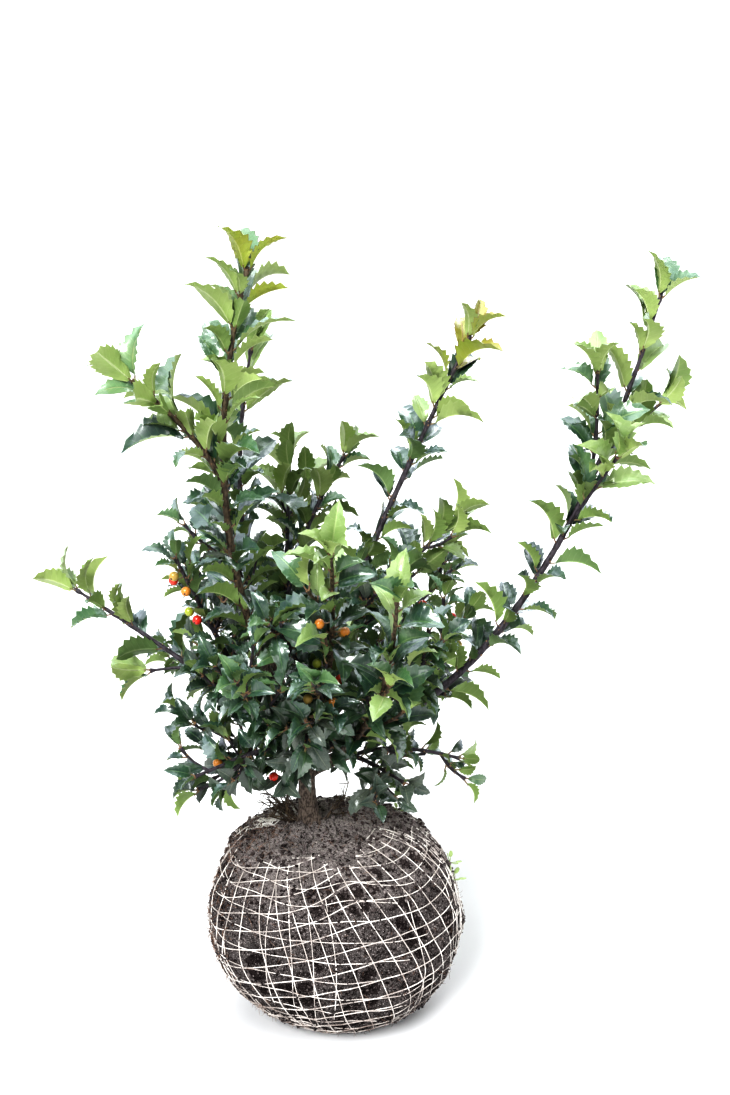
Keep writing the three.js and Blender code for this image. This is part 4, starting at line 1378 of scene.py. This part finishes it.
# Soil: how far it swells through the net and how far it has fallen out of it, where most of it has,
# the clods round the foot of the trunk, and the relief: size of the lumps and their height
SOIL_MESH = {"segments": 420, "ring_count": 225}
PILLOW, PILLOW_ROUND, PILLOW_LEVEL, HOLLOW = 2.4, 0.6, 0.7, 2.6
NETTED_FADE = (0.05, 0.1)  # shares over which the swell comes in, at the net's edge and from the ground
HOLLOWS = {
    "bearing": -2.1, "share": 0.4, "width": (0.65, 0.17), "more": 0.4,
    "size": 30, "from": 0.06, "fade": 0.22,
}
CLODS = {
    "middle": (-30, -8), "reach": 52, "lowest": 120, "fade": 2.2,
    "size": 13, "dome": 1.4, "depth": 3.6, "crevice": 0.1,
}
SOIL_RELIEF = ((26, 2.6), (8, 4.2), (2.8, 2.6))
SOIL_FLOOR, HAIR_FLOOR = 0.2, 0.4  # how far over the ground they stay
FLOOR_FADE = 0.16  # share of the outline over which the relief comes in, from the ground up

# Crumbs: name, rings of a crumb, how many, least and most size, and how far up they begin
CRUMBS = (
    ("soil_crumbs", 2, 12000, (0.5, 1.25), 0.004),
    ("soil_clods", 3, 900, (1.2, 2.4), 0.7),
)
CRUMB_TONES = {"dark": 0.34, "middle": 0.4, "pale": 0.26}  # share of them in each tone
CRUMB = {"shapes": 16, "uneven": (0.55, 1.3), "flat": (1.1, 1.0, 0.8), "floor": 0.3}

# Hair roots: how many; how deep one starts, how it bends and hugs the soil, and how thin its tip is
HAIRS = {"all over": 620, "left": 560, "low": 90}
HAIR = {"foot": -0.6, "steps": 5, "bend": 0.28, "hug": 0.22, "tip": 0.35}

WEEDS = ((-0.06, 0.6, 4.6), (0.5, 0.79, 3.4), (-0.02, 0.64, 3.8))  # bearing, share of the outline, size
DEAD_TWIGLETS = ((-1, 22), (1, 7))  # left and right of the trunk: how many
DEAD = {"length": (20, 38), "radii": (0.75, 0.3), "steps": 6, "branch_radii": (0.42, 0.32, 0.22)}


def net_drift(angle, share):
    """How far the net is pulled out of true at a spot: round the ball, and up it."""
    around, up = DRIFT["places"]
    spot = Vector((around * math.cos(angle), around * math.sin(angle), up * share))
    drift = noise.noise_vector(spot, noise_basis="PERLIN_ORIGINAL")
    return DRIFT["pull"][0] * drift[0], DRIFT["pull"][1] * drift[1]


def net_edge(angle):
    """Share of the outline at which the net ends."""
    turn = (math.degrees(angle) + 180) % 360 - 180
    return float(np.interp(turn, *zip(*NET_EDGE)))


def ring_path(k, step, tilt, layer=0.0):
    """Bearings and shares along one string round the ball; layer is how far up its layer starts."""
    path = []
    for angle in np.linspace(-math.pi, math.pi, RINGS["spots"]):
        share = RINGS["first"] + k * step + tilt * math.cos(angle - RINGS["crest"]) + layer
        turn, rise = net_drift(angle, share)
        path.append((angle + turn, share + rise))
    return path


def rib_lean(angle):
    """How a rib turns about the ball as it rises: most on the right."""
    return RIBS["twist"] + RIBS["sway"] * np.cos(angle - RIBS["crest"])


def rib_path(k, count, twist=None, layer=0.0):
    """Bearings and shares along one string up the ball; layer is how far round its layer starts."""
    path = []
    middle = -math.pi + TURN * k / count + layer
    lean = rib_lean(middle) if twist is None else twist
    for share in np.linspace(*RIBS["span"], RIBS["spots"]):
        angle = middle + lean * (share - 0.5)
        turn, rise = net_drift(angle, share)
        path.append((angle + turn, share + rise))
    return path


def on_soil(tree, angle, share, proud):
    """The spot on the finished soil over a place of the smooth ball, and the way out of it."""
    least, most = 0.004, 0.996  # nearer the poles the surface has no way out
    base = ball_surface(np.array(angle), np.array(np.clip(share, least, most)))
    turn, rise = 0.02, 0.01  # a step round the ball and one up it, to tell the way out
    near = ball_surface(np.array([angle, angle + turn]), np.array([min(share + rise, most), share]))
    out = np.cross(near[1] - base, near[0] - base)
    out = unit(out) if np.linalg.norm(out) > 0 else UP
    away, deep = 15, 40  # where the look for the soil starts, and how far it goes
    hit = tree.ray_cast(Vector((base + out * away) * MM), Vector(-out), deep * MM)
    spot = np.array(hit[0]) / MM if hit[0] is not None else base
    spot = spot + out * proud
    spot[2] = max(spot[2], NET_RADIUS)
    return spot, out


def lay_string(heap, tree, path, edge_shift, rng, radius=NET_RADIUS):
    """One string of the net, cut where it passes the net's upper edge, sunk where soil covers it."""
    around, up = SUNK["places"]
    runs, run = [], []
    for angle, share in path:
        inside = 0.01 < share < net_edge(angle) + edge_shift
        if inside:
            spot = Vector((around * math.cos(angle), around * math.sin(angle), up * share))
            buried = SUNK["uneven"] * noise.noise(spot) - SUNK["proud"]
            buried += SUNK["edge"] * max(0, share - net_edge(angle) + 0.1)
            proud = radius * (SUNK["over"] - SUNK["in"] * max(0, buried))
            run.append(on_soil(tree, angle, share, proud)[0])
        elif run:
            runs.append(run)
            run = []
    runs.append(run)
    for run in runs:
        if len(run) < SHORTEST_RUN:
            continue
        smooth = np.array(run)
        for _ in range(3):
            smooth[1:-1] = smooth[1:-1] * 0.5 + (smooth[:-2] + smooth[2:]) * 0.25
        radii = radius * (1 + rng.uniform(-NET_SPREAD, NET_SPREAD, len(run)))
        heap.add(*tube(smooth, radii, NET_SIDES)[:2])


def pillow(angle, share):
    """How far the soil swells through the mesh of the net at each spot, from 0 at its strings."""
    ring = (share - RINGS["first"] - RINGS["tilt"] * np.cos(angle - RINGS["crest"])) / RINGS["step"]
    middle = angle - rib_lean(angle) * (share - 0.5)
    middle = angle - rib_lean(middle) * (share - 0.5)  # nearer, as a rib leans by its own middle
    rib = (middle + math.pi) * RIBS["count"] / TURN
    return np.abs(np.sin(math.pi * ring) * np.sin(math.pi * rib)) ** PILLOW_ROUND


def hollows(ball, angle, share):
    """How far the soil has fallen out of the meshes of the net, from 0 to 1."""
    worn = np.array([noise.noise(Vector(spot) / HOLLOWS["size"]) for spot in ball])
    wide, high = HOLLOWS["width"]
    far = np.abs((angle - HOLLOWS["bearing"] + math.pi) % TURN - math.pi) / wide
    worn += HOLLOWS["more"] * np.exp(-far**2 - ((share - HOLLOWS["share"]) / high) ** 2)
    return np.clip((worn - HOLLOWS["from"]) / HOLLOWS["fade"], 0, 1)


def clods(ball):
    """Height of the clods round the foot of the trunk, below 0 in the crevices between them."""
    height = np.zeros(len(ball))
    far = np.linalg.norm(ball[:, :2] - CLODS["middle"], axis=1)
    for i in np.flatnonzero((far < CLODS["reach"]) & (ball[:, 2] > CLODS["lowest"])):
        near = noise.voronoi(Vector(ball[i] / CLODS["size"]))[0]
        crevice = math.exp(-(((near[1] - near[0]) / CLODS["crevice"]) ** 2))
        fade = min(1, CLODS["fade"] * (1 - far[i] / CLODS["reach"]))
        height[i] = fade * (CLODS["dome"] * (0.5 - near[0]) - CLODS["depth"] * crevice)
    return height


def soil_spots(angle, share):
    """Points of the soil at bearings and shares of the outline, and how hollow it is at each."""
    ball = ball_surface(angle, share)
    drift = np.array([net_drift(a, s) for a, s in zip(angle, share)])
    edge = np.array([net_edge(a) for a in angle])
    netted = np.clip((edge - share) / NETTED_FADE[0], 0, 1) * np.clip(share / NETTED_FADE[1], 0, 1)
    middles = pillow(angle - drift[:, 0], share - drift[:, 1])
    hollow = hollows(ball, angle, share) * netted
    swell = PILLOW * (middles - PILLOW_LEVEL) * netted * (1 - hollow) - HOLLOW * middles * hollow
    radial = ball - np.array([0, 0, BALL_TOP / 2])
    radial /= np.linalg.norm(radial, axis=1)[:, None]
    return ball + radial * (swell + clods(ball))[:, None], middles * hollow


def make_soil():
    """The ball of soil: its outline, lumps, swell between the strings, crumbs in relief, and painted shade
    in its deepest hollows.
    """
    bpy.ops.object.select_all(action="DESELECT")
    radius = BALL_TOP * MM / 2
    bpy.ops.mesh.primitive_uv_sphere_add(**SOIL_MESH, radius=radius)
    piece = bpy.context.object
    piece.name = piece.data.name = "soil"
    spots = read_spots(piece.data)
    angle = np.arctan2(spots[:, 1], spots[:, 0])
    share = np.arccos(np.clip(-spots[:, 2] / radius, -1, 1)) / math.pi
    spots, hollow = soil_spots(angle, share)
    piece.data.vertices.foreach_set("co", (spots * MM).ravel())
    group = piece.vertex_groups.new(name="above_floor")
    for i, weight in enumerate(np.clip(share / FLOOR_FADE, 0, 1)):
        group.add([i], float(weight), "REPLACE")
    select_only(piece)
    add_relief(piece, "soil", SOIL_RELIEF, 0.55, group.name)
    apply_modifiers(piece)
    piece.vertex_groups.clear()
    mesh = piece.data
    spots = read_spots(mesh)
    spots[:, 2] = np.maximum(spots[:, 2], SOIL_FLOOR * MM)
    mesh.vertices.foreach_set("co", spots.ravel())
    mesh.materials.append(SOILS["soil"])
    mesh.materials.append(SOILS["dark"])
    corners = np.zeros(len(mesh.loops), np.int32)
    mesh.loops.foreach_get("vertex_index", corners)
    firsts = np.zeros(len(mesh.polygons), np.int32)
    mesh.polygons.foreach_get("loop_start", firsts)
    # painted shade: the faces deep in the hollows of the net take the dark finish
    shaded = hollow[corners[firsts]] > 0.5
    mesh.polygons.foreach_set("material_index", shaded.astype(np.int32))
    settle(piece, ["root_ball"])
    return piece


def part_of(path, rng):
    """A stretch of a string, of any place and length."""
    count = len(path)
    length = int(count * rng.uniform(0.35, 0.75))
    start = rng.integers(0, count - length)
    return path[start:start + length]


def make_net(tree, rng):
    """The net in its first layer: rings round the ball, and ribs."""
    heap = Heap()
    for k in range(int(1 / RINGS["step"])):
        lay_string(heap, tree, ring_path(k, RINGS["step"], RINGS["tilt"]), rng.uniform(-0.02, 0.01), rng)
    for k in range(RIBS["count"]):
        lay_string(heap, tree, rib_path(k, RIBS["count"]), rng.uniform(-0.02, 0.02), rng)
    heap.piece("net", [STRING], "soil")


def make_second_layer(tree, rng):
    """Where the net lies double: strings over parts of the ball only."""
    heap = Heap()
    layer = LAYERS["front"]  # with ragged ends, left and right
    left, right = layer["between"]
    frayed, stepped = layer["ragged"]
    for k in layer["strings"]:
        path = ring_path(k, *layer["rings"])
        most = right + stepped * (k % 3)
        path = [spot for spot in path if left + rng.normal(0, frayed) < spot[0] < most]
        lay_string(heap, tree, path, 0, rng, NET_RADIUS * layer["thick"])
    layer = LAYERS["right"]
    for k in layer["strings"]:
        path = [spot for spot in ring_path(k, *layer["rings"]) if spot[0] > layer["from"]]
        lay_string(heap, tree, part_of(path, rng), 0, rng, NET_RADIUS * layer["thick"])
    layer = LAYERS["ribs"]  # close together in front, and a few elsewhere
    left, right = layer["between"]
    for k in range(layer["count"]):
        if left < -math.pi + TURN * k / layer["count"] < right or k % layer["elsewhere"] == 0:
            path = part_of(rib_path(k, layer["count"], layer["twist"], layer["start"]), rng)
            lay_string(heap, tree, path, layer["edge"], rng, NET_RADIUS * layer["thick"])
    layer = LAYERS["slack"]  # low at the left
    left, right = layer["between"]
    for k in layer["strings"]:
        path = [spot for spot in ring_path(k, *layer["rings"]) if left < spot[0] < right]
        lay_string(heap, tree, part_of(path, rng), 0, rng, NET_RADIUS * layer["thick"])
    layer = LAYERS["fold"]  # gathered at the right
    for k in layer["strings"]:
        path = rib_path(k, layer["count"], layer["twist"] + layer["fan"] * k, layer["start"])
        lay_string(heap, tree, part_of(path, rng), 0, rng, NET_RADIUS * layer["thick"])
    heap.piece("net_second_layer", [STRING], "soil")


def make_crumbs(tree, rng):
    """Crumbs of soil all over the ball, and clods on its open top."""
    finishes = [SOILS[tone] for tone in CRUMB_TONES]
    for name, rings, count, sizes, lowest in CRUMBS:
        base, faces = ball_shape(rings, 5)
        shapes = [base * rng.uniform(*CRUMB["uneven"], (len(base), 1)) for _ in range(CRUMB["shapes"])]
        heap = Heap()
        for _ in range(count):
            share = math.acos(1 - 2 * rng.uniform(lowest, 0.996)) / math.pi
            size = rng.uniform(*sizes)
            spot, out = on_soil(tree, rng.uniform(-math.pi, math.pi), share, size * 0.3)
            points = shapes[rng.integers(len(shapes))] * size * np.array(CRUMB["flat"])
            spots = spot + points @ facing(out)
            spots[:, 2] = np.maximum(spots[:, 2], CRUMB["floor"])
            heap.add(spots, faces, int(rng.choice(len(finishes), p=tuple(CRUMB_TONES.values()))))
        heap.piece(name, finishes, "soil", smooth=0)


def hair(heap, tree, angle, share, length, radius, rng, tone=0, lie=0.5):
    """A thin root that leaves the soil and bends back along it, the more so the more it is to lie."""
    spot, out = on_soil(tree, angle, share, HAIR["foot"])
    rows = facing(out)
    turn = rng.uniform(0, TURN)
    level = rows[0] * math.cos(turn) + rows[1] * math.sin(turn)
    steps = HAIR["steps"]
    points = [spot]
    course = unit(out + level * lie * 2)
    for _ in range(steps):
        points.append(points[-1] + course * length / steps)
        course = unit(course + rng.normal(0, HAIR["bend"], 3) - out * HAIR["hug"] * lie)
    points = np.array(points)
    points[:, 2] = np.maximum(points[:, 2], HAIR_FLOOR)
    heap.add(*tube(points, np.linspace(radius, radius * HAIR["tip"], steps + 1), 3)[:2], tone)


def make_gathers(tree, rng):
    """Threads of the net, drawn together into a strand over the open soil."""
    heap = Heap()
    near, far = np.array(GATHERS["ends"])
    across = np.array(GATHERS["across"])
    for _ in range(GATHERS["count"]):
        first, last = sorted(rng.uniform(-0.1, 1.1, 2))
        last = max(last, first + GATHERS["shortest"])
        aside, phase = rng.normal(0, GATHERS["spread"]), rng.uniform(0, TURN)
        spots = []
        for step in np.linspace(first, last, 9):
            wave = GATHERS["wave"] * math.sin(6 * step + phase)
            spot = near + (far - near) * step + across * (aside + wave)
            hit = tree.ray_cast(Vector((*spot, BALL_TOP + 20)) * MM, Vector((0, 0, -1)))
            spots.append(np.array(hit[0]) / MM + UP * rng.uniform(*GATHERS["above"]))
        heap.add(*tube(spots, [GATHERS["radius"]] * len(spots), 4)[:2])
    heap.piece("net_gathers", [CLEAN_STRING], "soil")


def make_dead_twiglets(rng):
    """Bare dead twiglets that lie round the foot of the trunk, each with a few branches."""
    heap = Heap()
    for side, count in DEAD_TWIGLETS:
        for _ in range(count):
            aside = np.array([side * rng.uniform(7, 20), rng.uniform(-4, 14), rng.uniform(-1, 3)])
            turn = rng.uniform(-0.9, 0.9) + (math.pi if side < 0 else 0)
            rise = rng.uniform(0.35, 1.5)
            course = unit(np.array([math.cos(turn), math.sin(turn), rise]))
            length = rng.uniform(*DEAD["length"])
            steps = DEAD["steps"]
            spots = [TRUNK_FOOT + aside]
            for _ in range(steps):
                spots.append(spots[-1] + course * length / steps)
                course = unit(course + rng.normal(0, 0.24, 3) - UP * 0.05)
            heap.add(*tube(spots, np.linspace(*DEAD["radii"], steps + 1), 5)[:2])
            for at in range(2, steps):
                branch = unit(course + rng.normal(0, 0.8, 3))
                ends = [spots[at], spots[at] + branch * rng.uniform(3, 8)]
                ends.append(ends[-1] + unit(branch + rng.normal(0, 0.4, 3)) * rng.uniform(2, 5))
                heap.add(*tube(ends, DEAD["branch_radii"], 4)[:2])
    heap.piece("dead_twiglets", [BARKS["olive"]], "shoot_bark")


def make_weeds(tree, rng):
    """Small weed seedlings that grow out of the soil, each with four leaves."""
    heap = Heap()
    for angle, share, size in WEEDS:
        foot, out = on_soil(tree, angle, share, 0)
        for i in range(4):
            turn = i * TURN / 4 + rng.uniform(0, 1)
            rows = facing(unit(out + UP * 0.6))
            course = unit(rows[2] * 0.8 + rows[0] * math.cos(turn) + rows[1] * math.sin(turn))
            end = foot + course * size * 1.6
            heap.add(*tube([foot, (foot + end) / 2 + out * 0.4, end], (0.35, 0.3, 0.3), 4)[:2])
            points, faces = BUD_SHAPE
            shape = points * np.array([0.5, 0.12, 0.8]) * size
            heap.add(end + course * size * 0.6 + shape @ facing(course), faces)
    heap.piece("weeds", [WEED], "leaves")


def make_roots(tree, rng):
    """Hair roots: short ones all over, longer ones at the left, and pale ones low in front."""
    heap = Heap()
    for _ in range(HAIRS["all over"]):
        share = rng.uniform(0.12, 0.96)
        hair(heap, tree, rng.uniform(-math.pi, math.pi), share, rng.uniform(3, 9), 0.2, rng)
    for _ in range(HAIRS["left"]):
        angle = rng.normal(-3.0, 0.35)
        hair(heap, tree, angle, rng.uniform(0.35, 0.86), rng.uniform(5, 14), 0.24, rng, 0, 0.8)
    for _ in range(HAIRS["low"]):
        angle = rng.normal(-2.1, 0.3)
        hair(heap, tree, angle, rng.normal(0.17, 0.04), rng.uniform(5, 12), 0.3, rng, 1, 1.2)
    heap.piece("hair_roots", [ROOT, WHITE_ROOT], "soil")


# ---- The plant ----------------------------------------------------------------------------------

LEAF_SEED, BALL_SEED = 7, 21
LEAF_SHAPES = 14  # different blades
LEAF_EDGE = 75  # degrees, up to which a leaf is shaded smooth
MARGIN = {"round": 6, "floor": 4}  # room for leaves past the solids, and over the soil's top


def group_of(shoot):
    """tall for the long shoots, or else front or rear, by where the tip is."""
    if shoot.habit == "long":
        return "tall"
    return "front" if math.sin(math.radians(shoot.tip[0])) < 0 else "rear"


def make_plant():
    """Trunk, boughs and shoots; the leaves and stems in three groups, what is small in one."""
    courses, room, grown = lay_out_shoots()
    make_trunk_and_boughs(courses)
    rng = np.random.default_rng(LEAF_SEED)
    shapes = [blade_shape(rng) for _ in range(LEAF_SHAPES)]
    low, high = (np.array(corner) / MM for corner in CAD_BOX)
    ceiling = (low - MARGIN["round"], high + MARGIN["round"])
    ceiling[0][2] = GROUND + MARGIN["floor"]
    shared = {"petioles": Heap(), "buds": Heap(), "berries": Heap()}
    for group in ("tall", "front", "rear"):
        heaps = {"leaves": Heap(), "stems": Heap(), **shared}
        nodes = []
        for shoot, lines in grown:
            if group_of(shoot) == group:
                bough = Line(courses[shoot.bough], INNER["radii"], 0)
                dress_shoot(shoot, lines, bough, room, heaps, shapes, ceiling)
                nodes.append("foliage_" + shoot.name)
        heaps["leaves"].piece("leaves_" + group, LEAF_FINISHES, "leaves", nodes, LEAF_EDGE)
        barks = [BARKS[bark] for bark in STEM_BARKS]
        heaps["stems"].piece("stems_" + group, barks, "shoot_bark", nodes)
    shared["petioles"].piece("petioles", [PINK], "shoot_bark")
    shared["buds"].piece("buds", [BUD], "shoot_bark")
    shared["berries"].piece("berries", [*BERRIES.values(), CALYX], "leaves")


def make_ball():
    """The root ball: soil first, then all that lies on it or grows out of it."""
    soil = make_soil()
    tree = BVHTree.FromObject(soil, bpy.context.evaluated_depsgraph_get())
    rng = np.random.default_rng(BALL_SEED)
    make_net(tree, rng)
    make_second_layer(tree, rng)
    make_gathers(tree, rng)
    make_crumbs(tree, rng)
    make_roots(tree, rng)
    make_weeds(tree, rng)
    make_dead_twiglets(rng)


# ---- Stage --------------------------------------------------------------------------------------

EXPOSURE, GAMMA = 0.58, 0.72
SURROUND = 0.13  # strength of the surround on what it lights
GLOSS = (0.2, 1.9)  # strength of the surround in what shines: in front of the plant, and behind it
WINDOW = {"way": (-0.2, -0.32, 0.93), "from": 0.7, "full": 0.88, "strength": 2.6}  # and overhead
SOFT_LIGHTS = (  # name, the way to it, how wide it is in degrees, strength
    ("softbox_key", (-0.5, -1.0, 0.8), 28, 2.8),
    ("softbox_top", (0.1, -0.2, 1.0), 60, 1.1),
    ("softbox_right", (1.0, -0.7, 0.5), 40, 0.95),
    ("softbox_rear", (0.3, 1.0, 0.8), 45, 0.9),
)


def make_floor():
    """A white floor, which is stage."""
    bpy.ops.object.select_all(action="DESELECT")
    bpy.ops.mesh.primitive_plane_add(size=12, location=(0, 0, 0))
    floor = bpy.context.object
    floor.name = "floor"
    material, _, shader = new_finish("floor_white", 0.9, 0.1)
    shader.inputs["Base Color"].default_value = (0.92, 0.93, 0.94, 1)
    floor.data.materials.append(material)


def choose(nodes, share, first, second):
    """The first shader, or the second where share is 1."""
    node = nodes.add("ShaderNodeMixShader")
    nodes.link(share, node, 0)
    nodes.link(first.outputs[0], node, 1)
    nodes.link(second.outputs[0], node, 2)
    return node


def make_world():
    """A white backdrop, a soft surround as light, and a brighter one with a window in what shines."""
    world = bpy.data.worlds.new("studio")
    world.use_nodes = True
    nodes = Nodes(world.node_tree)
    surround = world.node_tree.nodes["Background"]
    surround.inputs["Color"].default_value = (0.93, 0.97, 1.0, 1)
    surround.inputs["Strength"].default_value = SURROUND
    backdrop = nodes.add("ShaderNodeBackground", Color=(1, 1, 1, 1), Strength=1.0)
    sheen = nodes.add("ShaderNodeBackground", Color=(0.8, 0.87, 1.0, 1))
    behind = nodes.ramp(nodes.parts("Generated")[1], -0.1, 0.7)
    base = nodes.maths("MULTIPLY_ADD", behind, GLOSS[1] - GLOSS[0], GLOSS[0])
    toward = nodes.add("ShaderNodeVectorMath", operation="DOT_PRODUCT")
    nodes.link(nodes.add("ShaderNodeTexCoord").outputs["Generated"], toward, 0)
    toward.inputs[1].default_value = WINDOW["way"]
    window = nodes.ramp(toward.outputs["Value"], WINDOW["from"], WINDOW["full"])
    nodes.link(nodes.maths("MULTIPLY_ADD", window, WINDOW["strength"], base), sheen, "Strength")
    ray = nodes.add("ShaderNodeLightPath").outputs
    shining = choose(nodes, ray["Is Glossy Ray"], surround, sheen)
    shown = choose(nodes, ray["Is Camera Ray"], shining, backdrop)
    nodes.link(shown.outputs[0], world.node_tree.nodes["World Output"], 0)
    bpy.context.scene.world = world


def make_lights():
    """Broad suns, which stand for softboxes."""
    for name, way, width, strength in SOFT_LIGHTS:
        lamp = bpy.data.lights.new(name, "SUN")
        lamp.angle, lamp.energy = math.radians(width), strength
        light = bpy.data.objects.new(name, lamp)
        bpy.context.scene.collection.objects.link(light)
        light.location = Vector(way) * 2
        light.rotation_euler = Vector(way).to_track_quat("Z", "Y").to_euler()


def make_camera():
    """The viewing angle, from 1.2 m in front and a little down."""
    data = bpy.data.cameras.new("camera")
    data.lens, data.sensor_width = 50, 36
    camera = bpy.data.objects.new("camera", data)
    bpy.context.scene.collection.objects.link(camera)
    camera.location = VIEWED_FROM * MM
    camera.rotation_euler = (math.radians(90 - VIEWED_DOWN), 0, 0)
    bpy.context.scene.camera = camera
    view = bpy.context.scene.view_settings
    view.view_transform, view.exposure, view.gamma = "Standard", EXPOSURE, GAMMA


make_camera()
make_floor()
make_world()
make_lights()
make_plant()
make_ball()
